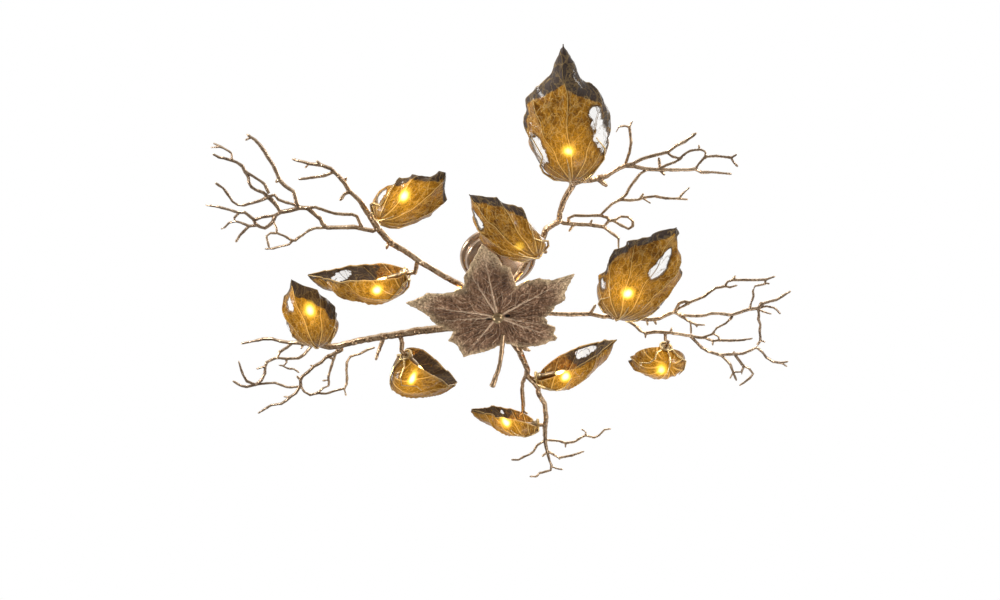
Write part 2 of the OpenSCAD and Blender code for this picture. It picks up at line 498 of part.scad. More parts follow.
module spray_c1() {
  color([0.55, 0.44, 0.32]) {
    root = concat(butt(c_line, 8), lifted([[327, 42, -2, 7.5], [348, 44, -2, 7.5], [367, 41, 0, 8],
      [382, 29, 2, 7.5], [400, 21, 4, 8], [423, 31, 4, 6], [448, 33, 5, 6], [469, 32, 6, 6],
      [484, 25, 8, 6], [502, 25, 8, 5.5], [530, 30, 8, 6.5], [549, 21, 10, 6.5], [568, 12, 12, 7],
      [587, 9, 14, 7.5], [598, -7, 17, 6], [625, -17, 20, 5], [637, -29, 24, 5], [648, -39, 28, 3]],
      level_c));
    sweep(root, 5);
    bud(root);
    twigs([
      [[340, 44, -2, 6], [342, 55, -7, 4]], [[356, 43, -1, 6], [360, 53, -6, 4]],
      [[399, 21, 4, 7], [404, 8, 7, 6.5], [408, -6, 9, 6.5], [419, -11, 11, 7], [430, -8, 11, 7],
       [442, -15, 13, 6], [460, -25, 16, 5.5], [472, -40, 20, 6], [483, -51, 23, 5.5],
       [503, -57, 26, 6], [507, -70, 30, 5.5], [519, -75, 32, 5.5], [539, -75, 33, 5.5],
       [568, -75, 35, 5.5], [589, -76, 38, 5.5], [606, -84, 42, 3]],
      [[402, 18, 4, 5.5], [415, 5, 6, 5], [428, -6, 10, 5.5]],
      [[517, -75, 32, 5], [520, -82, 35, 3.5]],
      [[502, -57, 26, 5], [515, -54, 24, 5], [526, -58, 24, 3]],
      [[589, -76, 37, 5], [591, -63, 34, 5], [570, -57, 31, 4.5], [567, -43, 27, 4.5],
       [571, -27, 22, 5], [569, -7, 16, 4.5], [569, 8, 12, 4.5]],
      [[590, -66, 35, 4], [600, -64, 34, 2.5]],
      [[588, 8, 14, 6], [605, 3, 15, 4.5], [623, 8, 14, 4], [632, 16, 12, 4], [640, 26, 10, 3]],
      [[585, 11, 13, 5], [604, 21, 11, 4], [620, 27, 10, 2.5]],
      [[590, 4, 15, 7], [592, -9, 18, 5]],
      [[588, 12, 13, 5.5], [592, 27, 9, 5], [594, 44, 6, 5], [601, 60, 4, 4.5], [602, 77, 2, 5],
       [607, 99, 0, 4.5], [609, 112, -1, 5], [605, 125, -3, 5]],
      [[609, 110, -1, 4.5], [621, 116, -3, 3]],
      [[402, 22, 4, 6], [421, 38, 2, 5.5], [437, 50, 0, 5.5], [455, 61, -3, 5], [474, 61, -3, 3]],
      [[440, 52, 0, 4.5], [444, 77, -4, 4.5], [445, 88, -6, 4.5]],
      [[453, 60, -3, 4], [457, 68, -6, 3]]], level_c);
  }
}
module spray_c2() {
  color([0.55, 0.44, 0.32]) {
    root = concat(beside(c_line, 8, [0.45, 1, -0.15], 7), lifted([[316, 64, -6, 7], [327, 77, -8, 7],
        [341, 87, -9, 7.5], [361, 83, -9, 6.5],
        [384, 84, -8, 7], [400, 86, -8, 6.5], [424, 91, -8, 6.5], [444, 95, -8, 7], [459, 113, -10, 6],
        [476, 134, -13, 6], [494, 147, -15, 6], [524, 158, -17, 6.5], [552, 155, -15, 6],
        [574, 154, -12, 5.5], [591, 143, -9, 5.5], [604, 133, -7, 6], [619, 147, -10, 5],
        [633, 167, -14, 5], [651, 181, -17, 5], [671, 185, -18, 4.5], [683, 181, -17, 3]], level_c));
    sweep(root, 5);
    bud(root);
    sweep(concat(lifted([[386, 84, -8, 6.5], [388, 108, -10, 6]], level_c), foot_points(9, 6)), 5);
    twigs([
      [[340, 86, -9, 6], [341, 96, -13, 3.5]], [[398, 86, -8, 5.5], [399, 77, -4, 4]],
      [[444, 94, -8, 6], [462, 101, -9, 6], [478, 102, -9, 6], [500, 112, -11, 6], [514, 110, -11, 5.5],
       [539, 111, -12, 5.5], [564, 110, -13, 5], [586, 105, -14, 3]],
      [[499, 111, -11, 5], [500, 120, -15, 3.5]],
      [[474, 101, -9, 5], [495, 90, -6, 5], [502, 71, -2, 4.5], [521, 56, 2, 4.5], [531, 40, 6, 4.5]],
      [[497, 89, -6, 4], [509, 97, -8, 4], [514, 108, -11, 4]],
      [[671, 185, -18, 4], [683, 194, -22, 3]],
      [[523, 157, -17, 6], [536, 172, -20, 5.5], [551, 190, -24, 5.5], [561, 215, -28, 5.5],
       [574, 245, -35, 3]],
      [[562, 218, -28, 4.5], [557, 238, -34, 2.5]],
      [[563, 216, -28, 4.5], [580, 215, -27, 4], [584, 200, -24, 4]],
      [[556, 155, -15, 6], [568, 174, -19, 5.5], [582, 194, -22, 5.5], [597, 203, -24, 4.5],
       [610, 222, -27, 4.5], [605, 236, -29, 4.5], [595, 250, -31, 5], [584, 262, -34, 3]],
      [[583, 196, -23, 4.5], [583, 224, -30, 2.5]],
      [[557, 156, -15, 5], [553, 147, -11, 3.5]]], level_c);
  }
}
module spray_d() {
  color([0.55, 0.44, 0.32]) {
    root = concat(butt(d_line, 8.5), lifted([[119, 452, -5, 8], [121, 468, -6, 8], [126, 494, -8, 7],
      [132, 526, -10, 5.5], [138, 546, -12, 5], [137, 566, -14, 4.5], [123, 572, -16, 4.5],
      [108, 578, -18, 4.5], [100, 592, -21, 4.5], [87, 592, -23, 3]], level_d));
    sweep(root, 5);
    bud(root);
    twigs([
      [[137, 550, -12, 4], [154, 560, -14, 4], [164, 562, -15, 3]],
      [[119, 446, -5, 6.5], [135, 447, -4, 6], [155, 450, -2, 6], [172, 458, -2, 6.5], [195, 452, 2, 5.5],
       [207, 438, 6, 6], [220, 428, 10, 6.5], [242, 437, 10, 5], [254, 428, 13, 5], [266, 407, 18, 4.5],
       [278, 404, 20, 3]],
      [[220, 428, 10, 5], [220, 415, 15, 4], [211, 407, 18, 2.5]],
      [[171, 458, -2, 5], [171, 465, -5, 4]],
      [[118, 448, -5, 6], [99, 467, -7, 5.5], [91, 490, -10, 5.5], [80, 503, -12, 5], [66, 512, -13, 5],
       [53, 524, -15, 5], [38, 524, -15, 3]],
      [[124, 486, -7, 6], [142, 503, -8, 6], [157, 515, -9, 5.5], [173, 511, -8, 5.5], [190, 506, -6, 6.5],
       [216, 492, -2, 3]],
      [[126, 492, -8, 5.5], [116, 506, -12, 3.5]],
      [[157, 514, -9, 4], [158, 522, -13, 3]]], level_d);
  }
}
module spray_e1() {
  color([0.55, 0.44, 0.32]) {
    root = concat(butt(e_line, 11), lifted([[-432, 117, 2.5, 10.5], [-446, 116, 3, 9.5], [-466, 113, 4, 9],
      [-484, 113, 5, 7.5], [-505, 108, 7, 6.5], [-521, 101, 10, 6], [-541, 101, 12, 6], [-565, 108, 12, 5],
      [-592, 115, 12, 3]], level_e));
    sweep(root, 5);
    bud(root);
    twigs([
      [[-478, 114, 4, 7], [-491, 129, 0, 6.5], [-510, 143, -3, 6.5], [-519, 162, -7, 7],
       [-529, 167, -8, 6.5], [-545, 177, -9, 6.5], [-551, 191, -11, 6], [-556, 216, -15, 6],
       [-568, 240, -19, 7], [-584, 254, -21, 8.5], [-603, 242, -19, 7], [-609, 217, -13, 5.5],
       [-611, 178, -4, 3]],
      [[-584, 254, -21, 7], [-606, 262, -23, 6.5], [-620, 258, -23, 5.5], [-633, 245, -21, 3.5]],
      [[-551, 192, -11, 5], [-560, 195, -12, 4.5], [-570, 199, -14, 2.5]],
      [[-520, 163, -7, 6], [-496, 166, -7, 6], [-468, 164, -5, 6.5], [-454, 152, -2, 6.5],
       [-441, 134, 1, 6.5], [-431, 120, 2, 7]],
      [[-498, 166, -7, 5], [-499, 178, -10, 5], [-508, 191, -13, 4.5], [-497, 199, -15, 4.5],
       [-484, 200, -16, 4], [-476, 210, -18, 2.5]],
      [[-506, 190, -13, 4], [-515, 188, -13, 3]], [[-452, 117, 3, 6], [-456, 126, 0, 4]],
      [[-582, 253, -21, 6], [-559, 250, -19, 5.5], [-536, 248, -16, 5], [-509, 263, -15, 5],
       [-495, 263, -14, 5], [-482, 261, -13, 4.5]]], level_e);
  }
}
module spray_e2() {
  color([0.55, 0.44, 0.32]) {
    root = concat(beside(e_line, 10, [-0.55, 1, -0.25], 9), lifted([[-404, 162, -5, 7.5], [-416, 177, -7,
        7], [-435, 191, -9, 6.5], [-451, 210, -11, 6.5],
        [-467, 225, -13, 6], [-474, 240, -14, 6.5], [-475, 256, -15, 6.5], [-490, 284, -19, 6],
        [-506, 298, -21, 6], [-519, 312, -23, 5.5], [-531, 322, -25, 5], [-556, 327, -27, 4.5],
        [-573, 340, -29, 4.5], [-590, 354, -32, 3]], level_e));
    sweep(root, 5);
    bud(root);
    twigs([
      [[-375, 136, -2, 6], [-388, 171, -6, 5.5], [-397, 200, -9, 5], [-406, 230, -12, 5],
       [-406, 245, -14, 4.5], [-408, 258, -15, 4.5], [-422, 266, -15, 4.5], [-437, 283, -16, 5]],
      [[-405, 238, -13, 4], [-417, 240, -14, 2.5]],
      [[-476, 258, -15, 5.5], [-470, 278, -17, 5.5], [-457, 291, -19, 6], [-438, 284, -17, 5.5],
       [-417, 286, -17, 5], [-395, 276, -15, 5.5], [-370, 267, -13, 5], [-364, 250, -10, 5],
       [-361, 231, -7, 5], [-360, 205, -3, 5], [-356, 177, 2, 5], [-346, 158, 5, 5.5],
       [-322, 149, 6, 5], [-304, 136, 7, 4.5], [-290, 130, 8, 3]],
      [[-372, 268, -13, 4.5], [-370, 288, -18, 3]],
      [[-506, 298, -21, 5], [-518, 297, -20, 3]], [[-474, 238, -14, 5], [-478, 230, -11, 3.5]],
      [[-400, 154, -4, 6], [-392, 163, -6, 4.5]], [[-435, 191, -9, 4], [-444, 188, -8, 3]]], level_e);
  }
}

// ---- claws: a ring round the calyx and three fingers over the outside of the glass ----
claw_reach = [0.42, 0.3, 0.42];
claw_side = [-0.62, -0.06, 0.55];
module claw(i) {
  r = calyx_dia / 2 + glass_gap;
  at_leaf(i) difference() {
    rotate([0, 90, 0]) translate([0, 0, -calyx_floor]) cylinder(r = r + 3.6, h = 5, $fn = 12);
    rotate([0, 90, 0]) translate([0, 0, -calyx_floor - 1]) cylinder(r = r + 0.3, h = 7, $fn = 12);
  }
  for (k = [0:2]) {
    v = claw_side[k];
    us = [0.03, 0.1, 0.2, 0.31, 0.42];
    n = [for (j = [0:4]) if (us[j] <= claw_reach[k] + 0.02) j];
    over = [for (j = n)
      let (d = claw_dia * (1 - 0.62 * us[j] / claw_reach[k]),
           w = v * (1 + 0.25 * sin(us[j] * 900 + i * 70 + k * 120)),
           q = cup(i, us[j], w, 0) + cup_normal(i, us[j], w) * (glass_gap + 0.7 + d / 2))
      concat(leaf_point(i, q), [d])];
    root = [0, (r + 2.2) * sin(90 * v), -(r + 2.2) * cos(90 * v)];
    line = concat([concat(leaf_point(i, root + [-2.5, 0, 0]), [claw_dia]),
      concat(leaf_point(i, root + [0.2, 0, 0] + unit([0, root[1], root[2]]) * 4), [claw_dia])], over);
    sweep(line, 4);
    bud(line);
  }
  knot(leaf_point(i, [-0.5, 0, r + 3]), claw_dia);
}
module claws(list) {
  color([0.6, 0.46, 0.3]) for (i = list) claw(i);
}

// ---- calyx cups, lampholders and capsule lamps, drawn along +X ----
module along_x() {
  rotate([0, 90, 0]) children();
}
holder_start = touch;
lamp_start = holder_start + holder_length;
module calyx_cups() {
  color([0.66, 0.5, 0.3]) for (i = [0:9]) at_leaf(i) along_x() difference() {
    translate([0, 0, -calyx_floor]) cylinder(d = calyx_dia, h = calyx_depth, $fn = 48);
    cylinder(d = holder_dia + 2 * touch, h = calyx_depth + 1, $fn = 48);
  }
}
module lampholder() {
  along_x() difference() {
    translate([0, 0, holder_start]) cylinder(d = holder_dia, h = holder_length, $fn = 48);
    translate([0, 0, lamp_start - base_depth - 0.5])
      cylinder(d = base_dia + 0.1, h = base_depth + 2, $fn = 48);
  }
}
module capsule_lamp() {
  along_x() rotate_extrude($fn = 48) polygon(concat(
    [[0, lamp_start - base_depth], [base_dia / 2, lamp_start - base_depth],
     [base_dia / 2, lamp_start + 1.2], [capsule_dia / 2, lamp_start + 4]],
    [for (a = [0:18:90]) [capsule_dia / 2 * cos(a),
      lamp_start + capsule_length - capsule_dia / 2 + capsule_dia / 2 * sin(a)]]));
}
arm_angle = [216.5, -55, 115];
// the arms' seats hang this far below the hub's base, so they clear the maple leaf at any seat size
arm_sink = 2;
arm_level = hub_base + calyx_dia / 2 - arm_sink;
module at_arm(k) {
  rotate([0, 0, arm_angle[k]]) translate([hub_dia / 2 + touch + arm_length, 0, arm_level]) children();
}
module lampholders() {
  color([0.55, 0.42, 0.26]) {
    for (i = [0:9]) at_leaf(i) lampholder();
    for (k = [0:2]) at_arm(k) lampholder();
  }
}
module lamp(i) {
  color([1, 0.9, 0.6]) at_leaf(i) capsule_lamp();
}
module hub_lamp(k) {
  color([1, 0.9, 0.6]) at_arm(k) capsule_lamp();
}

// ---- hub: bored for the stem above and for the knob's shank below ----
stem_socket = 12;
shank_length = 14;
module hub() {
  color([0.5, 0.4, 0.28]) difference() {
    translate([0, 0, hub_base]) cylinder(d = hub_dia, h = hub_height, $fn = 72);
    translate([0, 0, hub_top - stem_socket])
      cylinder(d = stem_dia + 2 * touch, h = stem_socket + 1, $fn = 48);
    translate([0, 0, hub_base - 1])
      cylinder(d = shank_dia + 2 * slide_gap, h = shank_length + 2, $fn = 48);
    for (k = [0:2]) rotate([0, 0, arm_angle[k]]) translate([hub_dia / 2 - 4, 0, arm_level])
      along_x() cylinder(d = arm_dia + 2 * touch, h = 6, $fn = 36);
  }
}
module hub_arms() {
  color([0.6, 0.46, 0.3]) for (k = [0:2]) rotate([0, 0, arm_angle[k]]) translate([0, 0,
      arm_level]) along_x() {
    translate([0, 0, hub_dia / 2 - 4 + touch]) cylinder(d = arm_dia, h = arm_length + 4 - 3, $fn = 36);
    translate([0, 0, hub_dia / 2 + arm_length - 3 + touch]) cylinder(d = calyx_dia * 0.75, h = 3, $fn = 36);
  }
}

// ---- the maple leaf: a fan of points from the centre hole out to the drawn outline ----
maple_outline = [[-160, -16], [-198, -58], [-148, -85], [-120, -78], [-95, -82], [-71, -99], [-71, -126],
  [-58, -152], [-33, -212], [-1, -187], [9, -160], [26, -162], [30, -135], [42, -95], [64, -109],
  [90, -116], [118, -112], [164, -135], [147, -80], [148, -57], [126, -39], [119, -20], [104, -6],
  [112, 18], [129, 27], [126, 55], [138, 67], [67, 90], [32, 83], [15, 74], [-4, 95], [-20, 106],
  [-78, 112], [-97, 74], [-112, 67], [-99, 42], [-147, 15]];
maple_flat = 17;
maple_rings = [0, 0.1, 0.42, 0.72, 1];
maple_top = hub_base - touch;
function maple_at(k, f) =
  let (p = maple_outline[k] * maple_scale, r0 = shank_dia / 2 + 0.6, a = atan2(p[1], p[0]),
       r = f == 0.1 ? maple_flat : r0 + (norm(p) - r0) * f, out = max(0, r - 30) / 120)
  [r * cos(a), r * sin(a), -out * (4 + maple_wave * (1 + cos(5 * a + 40)) / 2
    + maple_wave * 0.35 * cos(9 * a))];
module maple_sheet() {
  n = len(maple_outline);
  m = len(maple_rings);
  top = [for (f = maple_rings) for (k = [0:n - 1]) maple_at(k, f) + [0, 0, maple_top]];
  under = [for (q = top) q - [0, 0, maple_thick]];
  s = n * m;
  faces = concat(
    [for (j = [0:m - 2]) for (k = [0:n - 1])
      let (a = j * n + k, b = j * n + (k + 1) % n) each
      [[a, a + n, b + n], [a, b + n, b], [s + a, s + b + n, s + a + n], [s + a, s + b, s + b + n]]],
    [for (k = [0:n - 1]) let (a = k, b = (k + 1) % n, c = (m - 1) * n + k,
        d = (m - 1) * n + (k + 1) % n) each
      [[a, b, s + b], [a, s + b, s + a], [c, s + d, d], [c, s + c, s + d]]]);
  polyhedron(concat(top, under), [for (f = faces) [f[2], f[1], f[0]]]);
}
module maple_leaf() {
  color([0.45, 0.34, 0.27]) {
    maple_sheet();
    under = maple_top - maple_thick;
    stalk = [[12, 52, under - 1, stalk_dia], [10, 84, under - 4, stalk_dia], [8, 112, under - 7, stalk_dia],
      [4, 146, under - 10, stalk_dia * 0.92], [-5, 178, under - 13, stalk_dia * 0.95],
      [-13, 206, under - 16, stalk_dia * 1.05]];
    sweep(stalk, 8);
    for (k = [1, 6, 8, 11, 17, 19, 26, 32, 34]) hull() {
      translate(maple_at(k, 0.28) + [0, 0, under + 0.6]) sphere(2.6, $fn = 5);
      translate(maple_at(k, 0.8) + [0, 0, under + 0.6]) sphere(1.9, $fn = 5);
    }
  }
}
module finial() {
  under = maple_top - maple_thick - touch;
  color([0.66, 0.5, 0.3]) rotate_extrude($fn = 48) polygon(concat(
    [[0, hub_base + shank_length - 1], [shank_dia / 2, hub_base + shank_length - 1], [shank_dia / 2, under],
     [knob_dia / 2, under], [knob_dia / 2, under - 3], [knob_dia / 2 - 3, under - 4.5]],
    [for (a = [0:15:90]) [(knob_dia / 2 - 2) * cos(a), under - 5 - knob_dia * 0.4 * sin(a)]]));
}

// ---- ceiling plate, stem and nuts, in ceiling coordinates ----
stem_top = -plate_thick - touch;
stem_end = -hub_drop + hub_top - stem_socket + touch;
boss_end = -plate_thick - boss_depth;
canopy_hole = stem_dia / 2 + slide_gap;
module ceiling_plate() {
  color([0.7, 0.7, 0.72]) difference() {
    union() {
      translate([0, 0, -plate_thick]) cylinder(d = plate_dia, h = plate_thick, $fn = 96);
      translate([0, 0, boss_end]) cylinder(d = boss_dia, h = boss_depth + 1, $fn = 60);
    }
    translate([0, 0, boss_end - 1]) cylinder(d = stem_dia + 2 * touch, h = boss_depth + 1, $fn = 48);
    translate([0, 0, -plate_thick - 1]) cylinder(d = stem_bore, h = plate_thick + 2, $fn = 48);
    for (k = [0:bolt_count - 1]) rotate([0, 0, 45 + 360 / bolt_count * k])
      translate([bolt_circle / 2, 0, -plate_thick - 1]) cylinder(d = bolt_hole, h = plate_thick + 2,
          $fn = 32);
    for (p = fixing_places) translate([p[0], p[1], -plate_thick - 1])
      cylinder(d = screw_dia + 0.2, h = plate_thick + 2, $fn = 24);
  }
}
module stem() {
  color([0.66, 0.5, 0.3]) translate([0, 0, stem_end]) difference() {
    cylinder(d = stem_dia, h = stem_top - stem_end, $fn = 48);
    translate([0, 0, -1]) cylinder(d = stem_bore, h = stem_top - stem_end + 2, $fn = 48);
  }
}
module jam_nut() {
  difference() {
    cylinder(d = nut_width / cos(30), h = nut_height, $fn = 6);
    translate([0, 0, -1]) cylinder(d = stem_dia + 2 * touch, h = nut_height + 2, $fn = 48);
  }
}
module stem_nuts() {
  color([0.66, 0.5, 0.3]) {
    translate([0, 0, boss_end - touch - nut_height]) jam_nut();
    translate([0, 0, -hub_drop + hub_top + touch]) jam_nut();
  }
}

// ---- canopy: a spun shell with a stepped rim band ----
module canopy() {
  r = canopy_dia / 2;
  h = canopy_height;
  w = canopy_wall;
  outside = [[r, 0], [r, -h * 0.14], [r - 2, -h * 0.28], [r - rim_band * 0.55, -h * 0.42],
    [r - rim_band, -h * 0.46], [r - rim_band - 1.5, -h * 0.5], [r - rim_band - 5, -h * 0.64],
    [r * 0.66, -h * 0.84], [r * 0.4, -h * 0.96], [canopy_hole, -h]];
  inside = [for (k = [len(outside) - 1:-1:0])
    k == len(outside) - 1 ? [canopy_hole, -h + w] : k == 0 ? [r - w, 0]
    : [outside[k][0] - w * 0.8, outside[k][1] + w]];
  color([0.6, 0.47, 0.34]) translate([0, 0, -rim_gap]) rotate_extrude($fn = 120)
    polygon(concat(outside, inside));
}
collar_top = -rim_gap - canopy_height - touch;
module canopy_collar() {
  color([0.66, 0.5, 0.3]) difference() {
    translate([0, 0, collar_top - collar_height]) cylinder(d = collar_dia, h = collar_height, $fn = 60);
    translate([0, 0, collar_top - collar_height - 1])
      cylinder(r = canopy_hole, h = collar_height + 2, $fn = 48);
    translate([0, 0, collar_top - collar_height / 2]) rotate([0, 90, 70])
      cylinder(d = screw_dia + 1 + 2 * touch, h = collar_dia, $fn = 24);
  }
}
module collar_screw() {
  color([0.4, 0.4, 0.42]) translate([0, 0, collar_top - collar_height / 2]) rotate([0, 90, 70])
    translate([0, 0, canopy_hole + 0.3]) cylinder(d = screw_dia + 1,
        h = collar_dia / 2 - canopy_hole - 0.6, $fn = 24);
}

// ---- driver and terminal block under the plate, each held by two screws ----
driver_y = 34;
block_y = -32;
flange = 6;
flange_thick = 2;
fixing_places = [[driver_length / 2 - flange / 2, driver_y], [-driver_length / 2 + flange / 2, driver_y],
  [block_length / 2 - flange / 2, block_y], [-block_length / 2 + flange / 2, block_y]];
module boxed(length, width, height) {
  top = -plate_thick - touch;
  translate([-length / 2 + flange, -width / 2, top - height]) cube([length - 2 * flange, width, height]);
  difference() {
    translate([-length / 2, -width / 2 + 2, top - flange_thick]) cube([length, width - 4, flange_thick]);
    for (s = [-1, 1]) translate([s * (length / 2 - flange / 2), 0, top - flange_thick - 1])
      cylinder(d = screw_dia + 0.2, h = flange_thick + 2, $fn = 24);
  }
}
module led_driver() {
  color([0.88, 0.88, 0.86]) translate([0, driver_y, 0]) boxed(driver_length, driver_width, driver_height);
}
module terminal_block() {
  color([0.9, 0.9, 0.84]) translate([0, block_y, 0]) boxed(block_length, block_width, block_height);
}
module plate_screws() {
  under = -plate_thick - 2 * touch - flange_thick;
  color([0.75, 0.75, 0.77]) for (p = fixing_places) translate([p[0], p[1], 0]) {
    translate([0, 0, under - 1.8]) cylinder(d = screw_dia * 1.8, h = 1.8, $fn = 24);
    translate([0, 0, under - 0.1]) cylinder(d = screw_dia, h = -under - 0.2, $fn = 24);
  }
}

module hung() {
  translate([0, 0, -hub_drop]) children();
}
ceiling_plate();
stem();
stem_nuts();
canopy();
canopy_collar();
collar_screw();
led_driver();
terminal_block();
plate_screws();
hung() hub();
hung() hub_arms();
hung() limb_a();
hung() limb_b();
hung() limb_c();
hung() limb_d();
hung() limb_e();
hung() spray_a1();
hung() spray_a2();
hung() spray_b1();
hung() spray_b2();
hung() spray_c1();
hung() spray_c2();
hung() spray_d();
hung() spray_e1();
hung() spray_e2();
hung() maple_leaf();
hung() finial();
hung() glass_leaf(0);  // glass_leaf_1
hung() glass_leaf(1);  // glass_leaf_2
hung() glass_leaf(2);  // glass_leaf_3
hung() glass_leaf(3);  // glass_leaf_4
hung() glass_leaf(4);  // glass_leaf_5
hung() glass_leaf(5);  // glass_leaf_6
hung() glass_leaf(6);  // glass_leaf_7
hung() glass_leaf(7);  // glass_leaf_8
hung() glass_leaf(8);  // glass_leaf_9
hung() glass_leaf(9);  // glass_leaf_10
hung() calyx_cups();
hung() claws([1, 3]);  // claws_a
hung() claws([0, 2]);  // claws_b
hung() claws([5, 9]);  // claws_c
hung() claws([6, 8]);  // claws_d
hung() claws([4, 7]);  // claws_e
hung() lampholders();
hung() lamp(0);  // lamp_1
hung() lamp(1);  // lamp_2
hung() lamp(2);  // lamp_3
hung() lamp(3);  // lamp_4
hung() lamp(4);  // lamp_5
hung() lamp(5);  // lamp_6
hung() lamp(6);  // lamp_7
hung() lamp(7);  // lamp_8
hung() lamp(8);  // lamp_9
hung() lamp(9);  // lamp_10
hung() hub_lamp(0);  // hub_lamp_1
hung() hub_lamp(1);  // hub_lamp_2
hung() hub_lamp(2);  // hub_lamp_3
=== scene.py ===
import math

import bmesh
import bpy
import numpy as np
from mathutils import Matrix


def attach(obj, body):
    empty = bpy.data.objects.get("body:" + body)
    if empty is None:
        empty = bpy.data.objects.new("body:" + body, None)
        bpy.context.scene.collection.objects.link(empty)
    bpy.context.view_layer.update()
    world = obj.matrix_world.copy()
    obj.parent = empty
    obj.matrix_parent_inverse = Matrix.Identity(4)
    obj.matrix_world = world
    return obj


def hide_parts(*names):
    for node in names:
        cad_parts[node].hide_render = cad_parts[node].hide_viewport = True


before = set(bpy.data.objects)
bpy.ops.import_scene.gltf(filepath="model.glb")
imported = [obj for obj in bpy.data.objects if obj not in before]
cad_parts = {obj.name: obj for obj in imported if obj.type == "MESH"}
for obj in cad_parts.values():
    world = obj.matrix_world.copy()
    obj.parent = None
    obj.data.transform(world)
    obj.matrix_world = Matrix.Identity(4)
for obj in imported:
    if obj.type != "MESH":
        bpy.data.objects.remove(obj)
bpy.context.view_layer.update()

# ---- Camera ----
# The light is seen from below and in front, looking up at 48 degrees from 2.5 m away,
# with the canopy's plate on the ceiling above.
eye = (0.005, -1.5989, -1.9285)
view_tilt = 138
photo_lens = 38.016
camera = bpy.data.objects.new("camera", bpy.data.cameras.new("camera"))
camera.location = eye
camera.rotation_euler = (math.radians(view_tilt), 0, 0)
camera.data.lens = photo_lens
bpy.context.scene.collection.objects.link(camera)
bpy.context.scene.camera = camera
bpy.context.scene.view_settings.view_transform = "Standard"

# ---- Room ----
# A plain pale floor far below, a white surround, and five soft panels of light: a bright key
# in front at the left, one at each side, and weaker ones below and above.
MM = 0.001  # metres


class Field:
    """A socket of a material's node tree. Arithmetic on it adds Math nodes."""

    def __init__(self, finish, socket):
        self.finish, self.socket = finish, socket

    def calc(self, operation, *others):
        links = {"i%d" % (k + 1): v for k, v in enumerate(others)}
        return self.finish.node("Math", {"operation": operation}, i0=self, **links)

    def __add__(self, other):
        return self.calc("ADD", other)

    def __sub__(self, other):
        return self.calc("SUBTRACT", other)

    def __mul__(self, other):
        return self.calc("MULTIPLY", other)

    def __truediv__(self, other):
        return self.calc("DIVIDE", other)

    def __rsub__(self, other):
        return self.finish.node("Math", {"operation": "SUBTRACT"}, i0=other, i1=self)

    __radd__, __rmul__ = __add__, __mul__

    def held(self, low=0.0, high=1.0):
        """The value kept between low and high."""
        return self.calc("MAXIMUM", low).calc("MINIMUM", high)

    def ramp(self, start, end):
        """0 below start, 1 above end, and straight between them."""
        return ((self - start) / (end - start)).held()


class Finish:
    """A material: node() adds any node, lay() feeds the surface shader, and place is the
    object's own coordinates."""

    def __init__(self, name, **plain):
        self.material = bpy.data.materials.new(name)
        self.material.use_nodes = True
        self.tree = self.material.node_tree
        self.shader = self.tree.nodes["Principled BSDF"]
        self.lay(**plain)
        self.place = self.node("TexCoord", out=3)

    def connect(self, target, value):
        if isinstance(value, Field):
            self.tree.links.new(value.socket, target)
        elif isinstance(value, tuple) and len(value) == 3 and target.type == "RGBA":
            target.default_value = (*value, 1)
        else:
            target.default_value = value

    def node(self, kind, settings=None, out=0, **sockets):
        """One node of a kind, its settings first, then its sockets by name or as i0, i1."""
        made = self.tree.nodes.new("ShaderNode" + kind)
        for key, value in (settings or {}).items():
            setattr(made, key, value)
        for key, value in sockets.items():
            number = key[1:].isdigit() and key[0] == "i"
            target = made.inputs[int(key[1:]) if number else key.replace("_", " ")]
            self.connect(target, value)
        return Field(self, made.outputs[out])

    def lay(self, **sockets):
        for key, value in sockets.items():
            self.connect(self.shader.inputs[key.replace("_", " ")], value)

    def blend(self, mask, first, second):
        """A colour that is first where mask is 0 and second where it is 1."""
        return self.node("Mix", {"data_type": "RGBA"}, out=2, i0=mask, i6=first, i7=second)

    def coats(self, colour, *layers):
        """A colour under layers of (mask, colour), each covering what is below it."""
        for mask, layer in layers:
            colour = self.blend(mask, colour, layer)
        return colour

    def cloud(self, scale, detail=3.0, roughness=0.5):
        """Noise on the object's coordinates, scale in cells a metre."""
        return self.node("TexNoise", Vector=self.place, Scale=scale, Detail=detail,
                         Roughness=roughness)

    def parts(self, vector):
        """The x, y and z of a vector."""
        return [self.node("SeparateXYZ", out=k, Vector=vector) for k in range(3)]

    def off_axis(self):
        """The distance in metres from the upright axis through the origin."""
        x, y, _ = self.parts(self.place)
        return (x * x + y * y).calc("SQRT")

    def attributes(self, *names):
        """The mesh's own values of those names, one for each point."""
        return [self.node("Attribute", {"attribute_name": name}, out=2) for name in names]

    def emboss(self, height, distance, strength):
        """Feeds the normal from a height between 0 and 1, over a distance in metres."""
        self.lay(Normal=self.node("Bump", Height=height, Distance=distance, Strength=strength))


def new_object(name, mesh):
    """A smooth-shaded object with that mesh, linked to the scene."""
    made = bpy.data.objects.new(name, mesh)
    bpy.context.scene.collection.objects.link(made)
    mesh.polygons.foreach_set("use_smooth", np.ones(len(mesh.polygons), bool))
    return made


floor_level, floor_side = -4200, 16000
floor_paint = Finish("floor_paint", Roughness=0.9)
floor_paint.lay(Base_Color=floor_paint.blend(floor_paint.cloud(2.0), (0.80, 0.80, 0.79),
                                             (0.83, 0.83, 0.82)))
floor_mesh = bpy.data.meshes.new("floor")
floor_mesh.from_pydata([(x * floor_side * MM, y * floor_side * MM, floor_level * MM)
                        for x, y in ((-1, -1), (1, -1), (1, 1), (-1, 1))], [], [(0, 1, 2, 3)])
floor_mesh.materials.append(floor_paint.material)
new_object("floor", floor_mesh)

